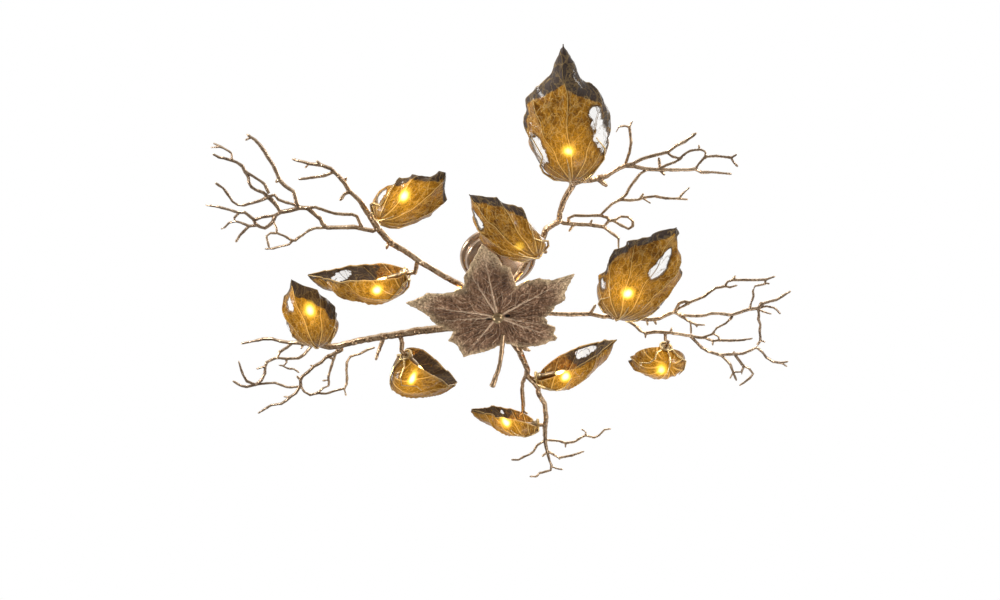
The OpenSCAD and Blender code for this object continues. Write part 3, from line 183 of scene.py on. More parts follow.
# The surround is white to the camera, in reflections and through glass, and a soft grey light
# on everything else.
seen_white, felt_grey = (1, 1, 1, 1), (0.27, 0.265, 0.26, 1)
world = bpy.data.worlds.new("surround")
world.use_nodes = True
bpy.context.scene.world = world
sky = world.node_tree
seen, felt = sky.nodes["Background"], sky.nodes.new("ShaderNodeBackground")
seen.inputs["Color"].default_value, felt.inputs["Color"].default_value = seen_white, felt_grey
ray = sky.nodes.new("ShaderNodeLightPath").outputs
direct, either = (sky.nodes.new("ShaderNodeMath") for _ in range(2))
direct.operation = either.operation = "MAXIMUM"
both = sky.nodes.new("ShaderNodeMixShader")
for source, target in (
        (ray["Is Camera Ray"], direct.inputs[0]), (ray["Is Glossy Ray"], direct.inputs[1]),
        (direct.outputs[0], either.inputs[0]), (ray["Is Transmission Ray"], either.inputs[1]),
        (either.outputs[0], both.inputs[0]), (felt.outputs[0], both.inputs[1]),
        (seen.outputs[0], both.inputs[2]),
        (both.outputs[0], sky.nodes["World Output"].inputs["Surface"])):
    sky.links.new(source, target)

light_aim = (0, 0, -0.15)
for name, place, size, power in (("panel_key", (-1.7, -2.5, 0.3), 0.7, 95),
                                 ("panel_left", (-2.8, 0.2, -0.9), 0.6, 34),
                                 ("panel_right", (2.7, -1.2, -0.5), 0.7, 44),
                                 ("panel_below", (1.3, 1.7, -2.3), 1.0, 20),
                                 ("panel_above", (0.8, 0.9, 2.2), 1.6, 32)):
    panel = bpy.data.objects.new(name, bpy.data.lights.new(name, "AREA"))
    panel.data.size, panel.data.energy, panel.location = size, power, place
    x, y, z = np.array(light_aim, float) - np.array(place, float)
    panel.rotation_euler = (math.atan2(math.hypot(x, y), -z), 0, math.atan2(-x, y))
    panel.visible_camera = False
    bpy.context.scene.collection.objects.link(panel)

# ---- Ceiling plate, its fittings and screws ----
# A zinc-plated steel disc with a welded boss, screwed to the ceiling box. It carries the
# driver and the terminal block, two moulded plastic housings held by small pan screws.
zinc = Finish("zinc_plate", Metallic=1.0)
zinc_flow = zinc.cloud(90, 4)
zinc.lay(Base_Color=zinc.blend(zinc_flow.ramp(0.35, 0.65), (0.30, 0.31, 0.32), (0.44, 0.44, 0.43)),
         Roughness=zinc_flow * 0.25 + 0.28)
zinc.emboss(zinc.cloud(900, 2), 0.00005, 0.4)


def moulding(name, pale, dark):
    """A moulded plastic finish: a fine spark-eroded grain and slightly yellowed patches."""
    made = Finish(name, Specular_IOR_Level=0.4)
    patch = made.cloud(40, 3).ramp(0.35, 0.7)
    made.lay(Base_Color=made.blend(patch, pale, dark), Roughness=patch * 0.1 + 0.42)
    made.emboss(made.cloud(2600, 1), 0.00003, 0.5)
    return made


driver_shell = moulding("driver_shell", (0.78, 0.78, 0.75), (0.70, 0.70, 0.66))
block_shell = moulding("block_shell", (0.80, 0.77, 0.66), (0.72, 0.69, 0.58))


def keep(node, finish):
    """A CAD node that keeps its shape and gets a finish."""
    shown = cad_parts[node]
    if not shown.data.materials:
        shown.data.materials.append(finish.material)
    for slot in shown.material_slots:
        slot.material = finish.material


keep("ceiling_plate", zinc)
keep("plate_screws", zinc)
keep("led_driver", driver_shell)
keep("terminal_block", block_shell)

# ---- Canopy, collar, stem and nuts ----
# The canopy is spun from brass sheet with a rolled rim band and a shallow dish, and
# lacquered in antique gold. A turned collar with a set screw clamps it to the brass stem.
canopy_radius, canopy_height, rim_gap, canopy_wall = 90, 30, 0.6, 1.5
stem_radius, slide_gap, touch = 8, 0.06, 0.15
pit_shade = 0.35


def eased(profile, times=2, closed=False):
    """Corner cutting: each corner becomes two points a quarter of the way along its edges."""
    line = np.array(profile, float)
    for _ in range(times):
        ahead = np.roll(line, -1, 0) if closed else line[1:]
        here = line if closed else line[:-1]
        cut = np.stack([0.75 * here + 0.25 * ahead, 0.25 * here + 0.75 * ahead], 1)
        cut = cut.reshape(-1, line.shape[1])
        line = cut if closed else np.concatenate([line[:1], cut, line[-1:]])
    return line


def raised(profile, level):
    """A profile of (radius, height) with its heights counted from a level."""
    return [(radius, level + height) for radius, height in profile]


def turned(profile, origin=(0, 0, 0), axis=(0, 0, 1), steps=96, closed=False):
    """A profile of (radius, height) turned about an axis: origin + r (cos a p + sin a q) + h axis,
    where p and q are two directions square to the axis."""
    line = np.array(profile, float)
    if closed:
        line = np.concatenate([line, line[:1]])
    axis = np.array(axis, float) / np.linalg.norm(axis)
    p = np.cross(axis, (0, 1, 0) if abs(axis[1]) < 0.9 else (1, 0, 0))
    p /= np.linalg.norm(p)
    q = np.cross(axis, p)
    angle = np.linspace(0, 2 * math.pi, steps, endpoint=False)
    round_way = np.cos(angle)[:, None] * p + np.sin(angle)[:, None] * q
    points = (np.array(origin, float) + line[:, 0, None, None] * round_way
              + line[:, 1, None, None] * axis)
    return points, loop_faces(len(line), steps)


def loop_faces(rows, columns):
    """The quads of a grid of points numbered row by row, each row closed on itself."""
    row, column = np.meshgrid(np.arange(rows - 1), np.arange(columns), indexing="ij")
    a, b = row * columns + column, row * columns + (column + 1) % columns
    return np.stack([a, b, b + columns, a + columns], -1).reshape(-1, 4)


def weld(mesh, distance=1e-6):
    """Joins points that share a place, so loose triangles and collapsed rows become one skin."""
    work = bmesh.new()
    work.from_mesh(mesh)
    bmesh.ops.remove_doubles(work, verts=work.verts, dist=distance)
    bmesh.ops.dissolve_degenerate(work, edges=work.edges, dist=distance / 10)
    work.to_mesh(mesh)
    work.free()


def outward(points, faces):
    """The faces turned, if they must be, so that the volume they close is positive."""
    a, b, c = points[faces[:, 0]], points[faces[:, 1]], points[faces[:, 2]]
    d = points[faces[:, 3]]
    volume = (a * np.cross(b, c)).sum() + (a * np.cross(c, d)).sum()
    return faces if volume > 0 else faces[:, ::-1]


def settle(name, mesh, body, node):
    """The mesh becomes a piece that rides on its body, and replaces a CAD node."""
    made = new_object(name, mesh)
    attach(made, body)
    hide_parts(node)


def piece(name, shells, body, node, fields=None):
    """One object from closed shells of (points in mm, quads, finish), each its own material.
    fields are values for its points, by name, that the finish reads."""
    points, quads, index, first = [], [], [], 0
    for number, (shell_points, faces, finish) in enumerate(shells):
        shell_points = shell_points.reshape(-1, 3) * MM
        quads.append(outward(shell_points, faces) + first)
        points.append(shell_points)
        index.append(np.full(len(faces), number))
        first += len(shell_points)
    mesh = bpy.data.meshes.new(name)
    mesh.from_pydata(np.concatenate(points).tolist(), [], np.concatenate(quads).tolist())
    mesh.polygons.foreach_set("material_index", np.concatenate(index))
    for field, values in (fields or {}).items():
        mesh.attributes.new(field, "FLOAT", "POINT").data.foreach_set("value", values.ravel())
    for _, _, finish in shells:
        mesh.materials.append(finish.material)
    weld(mesh)
    settle(name, mesh, body, node)


def spun(name, pale, dark, low, high):
    """Antique gold over spun or turned brass: fine rings, cloudy patina and dark specks."""
    made = Finish(name, Metallic=1.0, Coat_Weight=0.25, Coat_Roughness=0.25)
    ring_place = made.off_axis() * 900 + made.parts(made.place)[2] * 700
    rings = made.node("TexNoise", {"noise_dimensions": "1D"}, W=ring_place, Scale=1.0, Detail=3.0)
    patina = made.cloud(26, 6, 0.6)
    specks = made.cloud(420, 2).ramp(0.66, 0.74)
    mask = (patina.ramp(0.38, 0.66) * 0.75 + rings * 0.3).held()
    pit = tuple(c * pit_shade for c in dark)
    made.lay(Base_Color=made.coats(dark, (mask, pale), (specks * 0.5, pit)),
             Roughness=patina * (high - low) + low)
    made.emboss(rings * 0.6 + specks * -0.6 + patina * 0.3, 0.0001, 0.5)
    return made


canopy_gold = spun("canopy_gold", (0.56, 0.41, 0.29), (0.28, 0.19, 0.13), 0.18, 0.32)
turned_gold = spun("turned_gold", (0.52, 0.38, 0.20), (0.22, 0.15, 0.085), 0.22, 0.45)
screw_steel = Finish("screw_steel", Metallic=1.0, Roughness=0.35)
screw_steel.lay(Base_Color=screw_steel.blend(screw_steel.cloud(600), (0.10, 0.09, 0.08),
                                             (0.30, 0.28, 0.26)))

r, h, w = canopy_radius, canopy_height, canopy_wall
canopy_outside = [(r, 0), (r + 0.3, -2.2), (r - 0.6, -4.6), (r - 2.6, -6.8), (r - 5.2, -8.8),
                  (r - 8.6, -10.4), (r - 11.4, -10.6), (r - 12.6, -11.6), (r - 12.9, -13.4),
                  (r - 14.2, -16.2), (r - 17.4, -19.4), (r - 23, -22.6), (r - 32, -25.6),
                  (r - 46, -28.2), (r - 62, -29.4), (r - 76, -h), (stem_radius + 0.3, -h)]
canopy_inside = [(stem_radius + 0.3, -h + w), (r - 62, -29.4 + w), (r - 46, -28.2 + w),
                 (r - 32.4, -25.6 + w), (r - 24, -22.6 + w), (r - 18.6, -19.4 + w),
                 (r - 15.6, -16.2 + w), (r - 14.2, -11.2), (r - 12.6, -9.2), (r - 8.2, -8.8),
                 (r - 4, -5.6), (r - w - 0.4, -3), (r - w, 0)]
canopy_line = raised(canopy_outside + canopy_inside, -rim_gap)
piece("canopy_shell", [(*turned(eased(canopy_line, 2, True), steps=192, closed=True), canopy_gold)],
      "canopy", "canopy")

collar_top = -rim_gap - canopy_height - touch
collar_radius, collar_height = 14, 11
hole = stem_radius + slide_gap + 0.2
collar_line = raised([(hole, 0), (11, 0), (12.6, -0.4), (13.6, -1.8), (collar_radius, -3),
                      (collar_radius, -7.4), (13.2, -8.2), (12.6, -8.6), (12.9, -9.4),
                      (12.2, -10.6), (11, -collar_height), (hole, -collar_height)], collar_top)
piece("canopy_collar_turned",
      [(*turned(eased(collar_line, 1, True), steps=96, closed=True), turned_gold)],
      "canopy", "canopy_collar")
keep("collar_screw", screw_steel)
keep("stem", turned_gold)
keep("stem_nuts", turned_gold)

# ---- Hub, limbs, sprays and claws ----
# Lost-wax castings in bronze: a hub with three lamp arms, five limbs, nine twig sprays brazed
# to them and the claws that grip the glass. Their skins keep the wax's bark of knots and dents,
# and the antique gold is rubbed back on the ridges and dark in the hollows. Faces turned up and
# to the front are painted paler, a painted highlight.
def cast_finish(name, pale, mid, dark, tip_pale, tip_dark):
    """Cast bronze in three tones by wear and a painted highlight: faces turned up and to the front
    are painted paler, with greyer twig ends and dark pits.
    """
    made = Finish(name, Metallic=0.95, Coat_Weight=0.1, Coat_Roughness=0.3)
    (hollow,) = made.attributes("hollow")
    away = made.off_axis().ramp(0.36, 0.62)
    streak, blotch = made.cloud(130, 5, 0.65), made.cloud(34, 3, 0.5)
    pores = made.cloud(620, 3, 0.6)
    _, front, above = made.parts(made.node("TexCoord", out=1))
    # The normal's up and front parts paint a highlight on faces turned that way, mixed with real
    # wear, patina in the hollows and random tone.
    wear_and_painted_light = (hollow * -1.6 + streak * 1.2 + blotch * 1.0 + above * 0.24 - front * 0.2 - 0.43).held()
    tone = made.coats(dark, (wear_and_painted_light.ramp(0.0, 0.5), mid), (wear_and_painted_light.ramp(0.5, 1.0), pale),
                      (away * 0.7, made.blend(wear_and_painted_light, tip_dark, tip_pale)),
                      (hollow.ramp(0.4, 0.95) * 0.8, tuple(c * pit_shade for c in dark)))
    made.lay(Base_Color=tone, Roughness=(pores * 0.2 + hollow * 0.3 + 0.2).held(0.22, 0.7))
    made.emboss(streak * 0.8 + pores * 0.2, 0.0005, 0.5)
    return made


cast_gold = cast_finish("cast_gold", (0.90, 0.68, 0.45), (0.46, 0.30, 0.17), (0.095, 0.052, 0.028),
                        (0.44, 0.33, 0.24), (0.09, 0.06, 0.045))
claw_gold = cast_finish("claw_gold", (0.90, 0.66, 0.32), (0.62, 0.42, 0.17), (0.20, 0.11, 0.04),
                        (0.85, 0.62, 0.30), (0.30, 0.18, 0.07))


def grain(points, size, seed):
    """Value noise between 0 and 1: random numbers at the corners of a lattice of that cell
    size in mm, faded smoothly across each cell."""
    place = points / size
    corner = np.floor(place).astype(np.int64)
    part = place - corner
    fade = part * part * (3 - 2 * part)
    total = np.zeros(points.shape[:-1])
    for steps in np.ndindex(2, 2, 2):
        key = seed * 2654435761
        for k, prime in enumerate((73856093, 19349663, 83492791)):
            key = key ^ (corner[..., k] + steps[k]) * prime
        key = key & 0xFFFFFFFF
        key = (key ^ key >> 15) * 2246822519 & 0xFFFFFFFF
        key = (key ^ key >> 13) * 3266489917 & 0xFFFFFFFF
        weight = np.ones(points.shape[:-1])
        for k, step in enumerate(steps):
            weight = weight * (fade[..., k] if step else 1 - fade[..., k])
        total += weight * ((key ^ key >> 16) / 0xFFFFFFFF)
    return total


def neighbours(mesh):
    """The edges of a mesh as two columns, and how many each point has."""
    edges = np.empty(len(mesh.edges) * 2, np.int64)
    mesh.edges.foreach_get("vertices", edges)
    edges = edges.reshape(-1, 2)
    return edges, np.bincount(edges.ravel(), minlength=len(mesh.vertices))[:, None]


def mean_of_neighbours(points, edges, degree):
    """For each point the mean of the points that its edges lead to."""
    total = np.stack([np.bincount(edges[:, 0], points[edges[:, 1], k], len(points))
                      + np.bincount(edges[:, 1], points[edges[:, 0], k], len(points))
                      for k in range(3)], 1)
    return total / degree


def read_points(mesh, normals=False):
    """A mesh's points, or the normals at them, as an array."""
    source = mesh.vertex_normals if normals else mesh.vertices
    values = np.empty(len(source) * 3, np.float32)
    source.foreach_get("vector" if normals else "co", values)
    return values.reshape(-1, 3).astype(float)


bark = ((9.0, 1, 1.3), (4.0, 2, 0.7), (1.9, 5, 0.2))  # a noise's cell in mm, seed and weight


def cast(node, cell, swell, lump, fill, finish=cast_gold, passes=9):
    """A bark-like skin round a CAD node: the node is swelled along its normals, cut into even
    cells, relaxed towards the mean of its neighbours, and moved out by fill + lump * noise. All
    four are in mm. The hollow field is 1 where the neighbours stand higher."""
    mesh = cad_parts[node].data.copy()
    weld(mesh)
    points = read_points(mesh) + read_points(mesh, True) * swell * MM
    mesh.vertices.foreach_set("co", points.ravel())
    rough = new_object(node + "_rough", mesh)
    cells = rough.modifiers.new("cells", "REMESH")
    cells.mode, cells.voxel_size = "VOXEL", cell * MM
    skin = bpy.data.meshes.new_from_object(rough.evaluated_get(
        bpy.context.evaluated_depsgraph_get()))
    bpy.data.objects.remove(rough)
    points = read_points(skin) / MM
    edges, degree = neighbours(skin)
    for _ in range(passes):
        points += (mean_of_neighbours(points, edges, degree) - points) * 0.5
    skin.vertices.foreach_set("co", (points * MM).ravel())
    skin.update()
    out = read_points(skin, True)
    relief = sum((grain(points, size, seed) - 0.5) * weight for size, seed, weight in bark)
    points += out * (fill + lump * relief)[:, None]
    points += (mean_of_neighbours(points, edges, degree) - points) * 0.3
    bend = ((mean_of_neighbours(points, edges, degree) - points) * out).sum(1) / cell
    skin.vertices.foreach_set("co", (points * MM).ravel())
    skin.attributes.new("hollow", "FLOAT", "POINT").data.foreach_set(
        "value", np.clip(bend * 5 + 0.15, 0, 1))
    skin.materials.clear()
    skin.materials.append(finish.material)
    skin.update()
    settle(node + "_cast", skin, "root", node)


cast("hub", cell=1.1, swell=-0.6, lump=0.9, fill=0.3)
cast("hub_arms", cell=0.8, swell=-0.2, lump=0.4, fill=0.1)
for limb in "abcde":
    cast("limb_" + limb, cell=0.9, swell=1.4, lump=1.3, fill=0.7)
for spray in "a1 a2 b1 b2 c1 c2 d e1 e2".split():
    cast("spray_" + spray, cell=0.8, swell=1.0, lump=0.9, fill=0.4)
for group in "abcde":
    cast("claws_" + group, cell=0.7, swell=0.45, lump=0.3, fill=0.1, finish=claw_gold, passes=6)

# ---- Maple leaf and knob ----
# A large leaf cast in brown bronze, 3.5 mm thick and waved, with raised veins and a chopped
# stalk. The turned knob's shank goes through its middle into the hub and holds it up.
hub_drop, hub_base = 188, -18
maple_top = -hub_drop + hub_base - touch
maple_thick, maple_wave, shank_hole = 3.5, 9, 4.6
maple_outline = [(-160, -16), (-198, -58), (-148, -84), (-120, -76), (-95, -76), (-73, -95),
                 (-71, -126), (-58, -152), (-33, -212), (-1, -187), (9, -160), (26, -162),
                 (30, -135), (42, -95), (64, -109), (90, -116), (118, -112), (164, -135),
                 (147, -80), (148, -57), (126, -39), (119, -20), (104, -6), (112, 18), (129, 27),
                 (126, 55), (138, 67), (67, 90), (32, 83), (15, 74), (-4, 95), (-20, 106),
                 (-78, 112), (-97, 74), (-112, 67), (-99, 42), (-147, 15)]
maple_ribs = [(-33, -205), (158, -129), (-190, -56), (-74, 106), (130, 63), (112, 22),
              (-140, 12), (-62, -140)]

leaf_bronze = Finish("leaf_bronze", Metallic=0.9, Coat_Weight=0.1, Coat_Roughness=0.3)
rib_mask, edge_mask, fold_mask, pit_mask = leaf_bronze.attributes("rib", "edge", "fold", "pit")
leaf_x, leaf_y, _ = leaf_bronze.parts(leaf_bronze.place)
from_knob = leaf_bronze.off_axis() + 0.001
ray_place = leaf_bronze.node("CombineXYZ", X=leaf_x / from_knob * 4.2, Y=leaf_y / from_knob * 4.2,
                             Z=from_knob * 16)
fine_rays = leaf_bronze.node("TexNoise", Vector=ray_place, Scale=2.6, Detail=6.0, Roughness=0.62)
crust, mottle = leaf_bronze.cloud(210, 6, 0.7), leaf_bronze.cloud(26, 3, 0.5)
ridge = (fine_rays * 1.5 + crust * 0.9 + mottle * 0.6 - 1.0).held()
bronze_tone = leaf_bronze.coats(
    (0.055, 0.027, 0.016), (ridge.ramp(0.1, 0.55), (0.275, 0.15, 0.085)),
    (ridge.ramp(0.6, 0.85), (0.62, 0.40, 0.255)),
    (fold_mask.ramp(0.62, 1.0) * 0.6, (0.04, 0.022, 0.014)),
    ((rib_mask * (0.5 + crust * 0.8)).ramp(0.25, 0.85), (0.84, 0.61, 0.42)),
    (from_knob.ramp(0.14, 0.205) * crust.ramp(0.38, 0.56), (0.92, 0.68, 0.44)),
    ((edge_mask * crust.ramp(0.3, 0.55)).held(), (0.80, 0.60, 0.36)),
    (pit_mask.ramp(0.35, 0.7), (0.01, 0.007, 0.006)))
leaf_bronze.lay(Base_Color=bronze_tone, Roughness=(crust * 0.4 + 0.16).held(0.2, 0.65))
leaf_bronze.emboss(crust * 0.45 + fine_rays * 0.4 + leaf_bronze.cloud(640, 3) * 0.15, 0.0030, 0.9)


def along(points, count):
    """Points at even steps round a closed line."""
    line = np.array(list(points) + [points[0]], float)
    walked = np.concatenate([[0], np.cumsum(np.hypot(*np.diff(line, axis=0).T))])
    steps = np.linspace(0, walked[-1], count, endpoint=False)
    return np.stack([np.interp(steps, walked, line[:, k]) for k in range(2)], 1)


def near_line(points, start, end, wide, tall):
    """A rib from start to end: tall * exp(-(distance / width) squared), thinning to its end."""
    start, way = np.array(start, float), np.array(end, float) - np.array(start, float)
    share = np.clip(((points - start) @ way) / (way @ way), 0, 1)
    gap = np.hypot(*np.moveaxis(points - start - share[..., None] * way, -1, 0))
    width = wide * (1.15 - 0.8 * share)
    return tall * (1.1 - 0.7 * share) * np.exp(-(gap / width) ** 2)


def maple_blade():
    """Rings of points from the shank's hole out to a finely toothed outline. The height falls
    away from the middle in waves, as in the CAD. Ribs, fans of finer veins and a crinkle of
    folded noise stand out below; two pits flank the knob."""
    count, under_rings, top_rings = 640, 104, 26
    rib_height, pit_height, crinkle_height, top_rib_height = 2.6, 1.8, 3.6, 0.8
    rim = along(maple_outline, count)
    rim_out = rim / np.hypot(*rim.T)[:, None]
    walk = np.arange(count) / count
    tooth = np.abs(((walk * 57) % 1) - 0.35) * 4.2 - 1.1 + np.abs(((walk * 23) % 1) - 0.5) * 4 - 1
    rim = rim + rim_out * (tooth + 3.0 * (grain(np.c_[rim, rim[:, :1] * 0], 14, 9) - 0.5))[:, None]

    def skin(rings):
        """One face of the blade on that many rings: its points, height, ribs, crinkle and edge."""
        share = np.linspace(0, 1, rings) ** 0.85
        flat = rim_out * shank_hole + (rim - rim_out * shank_hole) * share[:, None, None]
        reach, angle = np.hypot(flat[..., 0], flat[..., 1]), np.arctan2(flat[..., 1], flat[..., 0])
        out = np.maximum(0, reach - 30) / 120
        level = maple_top - out * (4 + maple_wave * (1 + np.cos(5 * angle + math.radians(40))) / 2
                                   + maple_wave * 0.35 * np.cos(9 * angle))
        place = np.dstack([flat, flat[..., :1] * 0])
        level += (grain(place, 24, 11) - 0.5) * 4 * np.minimum(1, out * 3)
        rib = np.zeros(reach.shape)
        for number, tip in enumerate(maple_ribs):
            tip = np.array(tip, float)
            length = np.hypot(*tip)
            rib = np.maximum(rib, near_line(flat, tip * 0.06, tip * 0.97, 2.9, 1.0))
            side = np.array([-tip[1], tip[0]]) / length
            for step, root in enumerate(np.arange(0.16, 0.92, 0.085)):
                turn = (side if (step + number) % 2 else -side) * (0.85 + 0.3 * math.sin(7 * step))
                end = tip * (root + 0.2) + turn * length * 0.26 * (1.1 - root)
                rib = np.maximum(rib, near_line(flat, tip * root, end, 1.7, 0.62))
        fold = angle * 17 / math.pi + (grain(place, 40, 15) - 0.5) * 2.4
        fan = np.exp(-(np.abs(np.sin(math.pi * fold)) * reach * 0.185 / 1.9) ** 2) * 0.8
        rib = np.maximum(rib, fan * np.clip(reach / 30 - 0.5, 0, 1))
        crinkle = np.abs(grain(place, 7, 13) - 0.5) + np.abs(grain(place, 3.4, 14) - 0.5) * 0.6
        return flat, reach, level, rib, crinkle, share[:, None] ** 12 * np.ones(count)

    flat, reach, level, rib, crinkle, edge = skin(under_rings)
    pit = sum(np.exp(-(((flat[..., 0] - x) / 9) ** 2 + ((flat[..., 1] - y) / 5) ** 2))
              for x, y in ((-20, 6), (22, -3)))
    under = (level - maple_thick * (0.75 - 0.35 * edge) - rib * rib_height + pit * pit_height
             - crinkle * crinkle_height * np.clip(reach / 40, 0.25, 1))
    top_flat, _, top_level, top_rib, _, top_edge = skin(top_rings)
    top = top_level - top_rib * top_rib_height
    both = np.concatenate([np.dstack([top_flat, top]), np.dstack([flat, under])[::-1]])
    both = np.concatenate([both, both[:1]])
    fields = {"rib": (top_rib, rib), "edge": (top_edge, edge), "pit": (top_rib * 0, pit),
              "fold": (top_rib * 0 + 0.4, np.clip(1 - crinkle * 2.2, 0, 1))}
    fields = {name: np.concatenate([top_part, part[::-1], top_part[:1]])
              for name, (top_part, part) in fields.items()}
    return both, loop_faces(len(both), count), fields


def tube(path, sides, lumps):
    """Circles of the path's radii carried along its points (x, y, z, radius), moved out by up to
    lumps mm of noise, with both ends closed."""
    line = np.array(path, float)
    middle, radius = line[:, :3], line[:, 3]
    way = np.gradient(middle, axis=0)
    way /= np.linalg.norm(way, axis=1)[:, None]
    side = np.cross(way, (0, 0, 1.0))
    side /= np.linalg.norm(side, axis=1)[:, None]
    over = np.cross(side, way)
    angle = np.linspace(0, 2 * math.pi, sides, endpoint=False)
    ring = np.cos(angle)[:, None] * side[:, None] + np.sin(angle)[:, None] * over[:, None]
    points = middle[:, None] + ring * radius[:, None, None]
    points += ring * ((grain(points, 8, 21) - 0.5) * 2 * lumps)[..., None]
    points = np.concatenate([np.repeat(middle[:1, None], sides, 1), points,
                             np.repeat(middle[-1:, None], sides, 1)])
    return points, loop_faces(len(points), sides)


blade_points, blade_faces, blade_fields = maple_blade()
stalk_level = maple_top - maple_thick
stalk_line = eased([(12, 52, stalk_level - 1, 5.0), (10, 84, stalk_level - 4, 5.6),
                    (8, 112, stalk_level - 7, 5.4), (4, 146, stalk_level - 10, 5.1),
                    (-5, 178, stalk_level - 13, 5.6), (-13, 205, stalk_level - 16, 7.0)], 3)
stalk_points, stalk_faces = tube(stalk_line, 28, 0.9)
stalk_size = stalk_points.shape[0] * stalk_points.shape[1]
piece("maple_leaf_cast", [(blade_points, blade_faces, leaf_bronze),
                          (stalk_points, stalk_faces, cast_gold)],
      "root", "maple_leaf",
      fields={field: np.concatenate([values.ravel(), np.zeros(stalk_size)])
              for field, values in blade_fields.items()})

knob_level = maple_top - maple_thick - touch - 0.4
knob_line = raised([(0, -5), (3.4, -5), (3.9, -6)], -hub_drop) + raised(
    [(3.9, 0.4), (4.2, 0), (12.6, 0), (13.5, -1.4), (13.2, -3.4), (11.2, -4.4), (10.6, -5.2),
     (11.2, -6.6), (10.2, -9.6), (7.8, -12.6), (4.4, -14.6), (0, -15.4)], knob_level)
knob_points, knob_faces = turned(eased(knob_line, 2), steps=72)
knob_low = np.clip((knob_level - knob_points[..., 2]) / 4, 0, 1)
knob_points[..., :2] *= 1 + (knob_low * (grain(knob_points, 4.5, 31) - 0.5) * 0.16)[..., None]
piece("leaf_knob", [(knob_points, knob_faces, turned_gold)], "knob", "finial")

# ---- Calyx cups, lampholders and capsule lamps ----
# At the foot of each glass leaf a turned brass calyx holds a brass-sleeved lampholder, and
# a small clear capsule lamp with a bright core plugs into it. Three more light the canopy
# from the hub's arms, behind the maple leaf.
leaf_tilt = math.radians(14)
# For each leaf: its foot and tip, with heights from the hub's top, the way its cup opens, its
# width and depth, its outline (0 slender, 1 shouldered, 2 blunt), how far its tip swings aside
# as a share of its length, and how high its two rims crest.
leaves = [((152, -338, 38), (125, -617, 78), (0, 0.15, 1), 168, 60, 1.0, 0, 0, 0),
          ((-256, -247, 38), (-100, -318, 58), (0, 0, 1), 104, 50, 1.8, -0.1, 0, 0),
          ((90, -170, 11), (-58, -314, 10), (0.2, 0.1, 1), 122, 46, 0.1, 0, 0, 0),
          ((-201, -84, 28), (-423, -67, 46), (0, -1, 0.42), 132, 60, 0.8, 0, 10, 12),
          ((-409, 102, 14), (-436, -72, 28), (0, 0.1, 1), 118, 54, 1.2, -0.12, 0, 0),
          ((268, 17.5, 11.5), (350, -214, 44), (0, 0.1, 1), 160, 60, 1.75, 0.14, 0, 0),
          ((93.5, 220.5, 4), (277, 112, 23), (-0.3, -1, 0.5), 116, 50, 0.6, 0, 6, 16),
          ((-215, 151, 10), (-98, 271, 36), (0.2, -1, 0.2), 110, 90, 1.5, 0, 14, 14),
          ((98, 389, 3), (-65, 342, 13), (0, -1, 0.55), 110, 32, 0.9, 0, 14, 22),
          ((391, 128, 14), (362, 234, 38), (0.1, -0.8, 1), 130, 58, 0.8, 0.06, 0, 0)]


def unit(vector):
    """The vector's direction, one long."""
    return np.array(vector, float) / np.linalg.norm(vector)


def leaf_frame(foot, tip, opening):
    """A leaf's foot, its directions along the lamp, across the cup and out of it, its length."""
    length = np.linalg.norm(np.subtract(tip, foot))
    chord = unit(np.subtract(tip, foot))
    opening = unit(opening - chord * (np.array(opening) @ chord))
    ahead = chord * math.cos(leaf_tilt) - opening * math.sin(leaf_tilt)
    out = opening * math.cos(leaf_tilt) + chord * math.sin(leaf_tilt)
    return np.array(foot, float) + (0, 0, -hub_drop), ahead, np.cross(out, ahead), out, length


frames = [leaf_frame(*leaf[:3]) for leaf in leaves]
holder_length, base_depth, capsule_length, capsule_radius = 44, 8, 27, 5.5
lamp_start = touch + holder_length

holder_brass = spun("holder_brass", (0.46, 0.32, 0.17), (0.20, 0.125, 0.06), 0.3, 0.5)
capsule_glass = Finish("capsule_glass", Roughness=0.04, IOR=1.45, Emission_Strength=1.0)
capsule_haze = capsule_glass.cloud(220, 2)
capsule_glass.lay(Base_Color=capsule_glass.blend(capsule_haze, (1, 0.86, 0.55), (1, 0.92, 0.7)),
                  Emission_Color=capsule_glass.blend(capsule_haze, (1, 0.62, 0.2), (1, 0.72, 0.3)),
                  Alpha=capsule_haze * 0.1 + 0.45)
lamp_core = Finish("lamp_core", Emission_Strength=40.0)
core_patch = lamp_core.cloud(900, 2)
lamp_core.lay(Base_Color=(1, 0.9, 0.6),
              Emission_Color=lamp_core.blend(core_patch, (1, 0.62, 0.2), (1, 0.74, 0.34)))
lamp_pinch = Finish("lamp_pinch", Coat_Weight=0.4)
lamp_pinch.lay(Base_Color=lamp_pinch.blend(lamp_pinch.cloud(800), (0.55, 0.5, 0.4),
                                           (0.7, 0.66, 0.55)), Roughness=0.3)

calyx_line = eased([(0, -3), (4.5, -3), (7.5, -2.7), (10.4, -1.2), (11.7, 1.2), (11.95, 3.4),
                    (11.2, 5.0), (11.1, 6.2), (11.9, 7.4), (12, 10.6), (11.7, 11.8), (8.2, 11.8),
                    (7.5, 11), (7.3, 0.4), (0, 0.2)], 2)
holder_line = eased([(0, touch), (6.6, touch), (7, 1), (7, 16), (6.4, 17), (6.4, 18.2), (7, 19),
                     (7, holder_length - 2), (6.4, holder_length)]
                    + raised([(4.4, 0), (4.15, -1), (4.15, -base_depth - 0.4),
                              (0, -base_depth - 0.45)], lamp_start), 1)
capsule_line = eased(raised([(0, 0.6), (3.4, 1), (5.2, 3.2), (capsule_radius, 6),
                             (capsule_radius, 19), (5.2, 22.6), (3.6, 25.4), (1.6, 26.6),
                             (0, capsule_length)], lamp_start), 2)
pinch_line = raised([(0, 0.1 - base_depth), (3.7, 0.1 - base_depth), (3.9, -7), (3.9, 0.4),
                     (3, 2.6), (1.4, 6), (0, 6.2)], lamp_start)
core_line = eased(raised([(0, 6.6), (2.2, 7), (2.9, 9), (2.9, 17), (2.2, 19.4), (0, 20)],
                         lamp_start), 2)


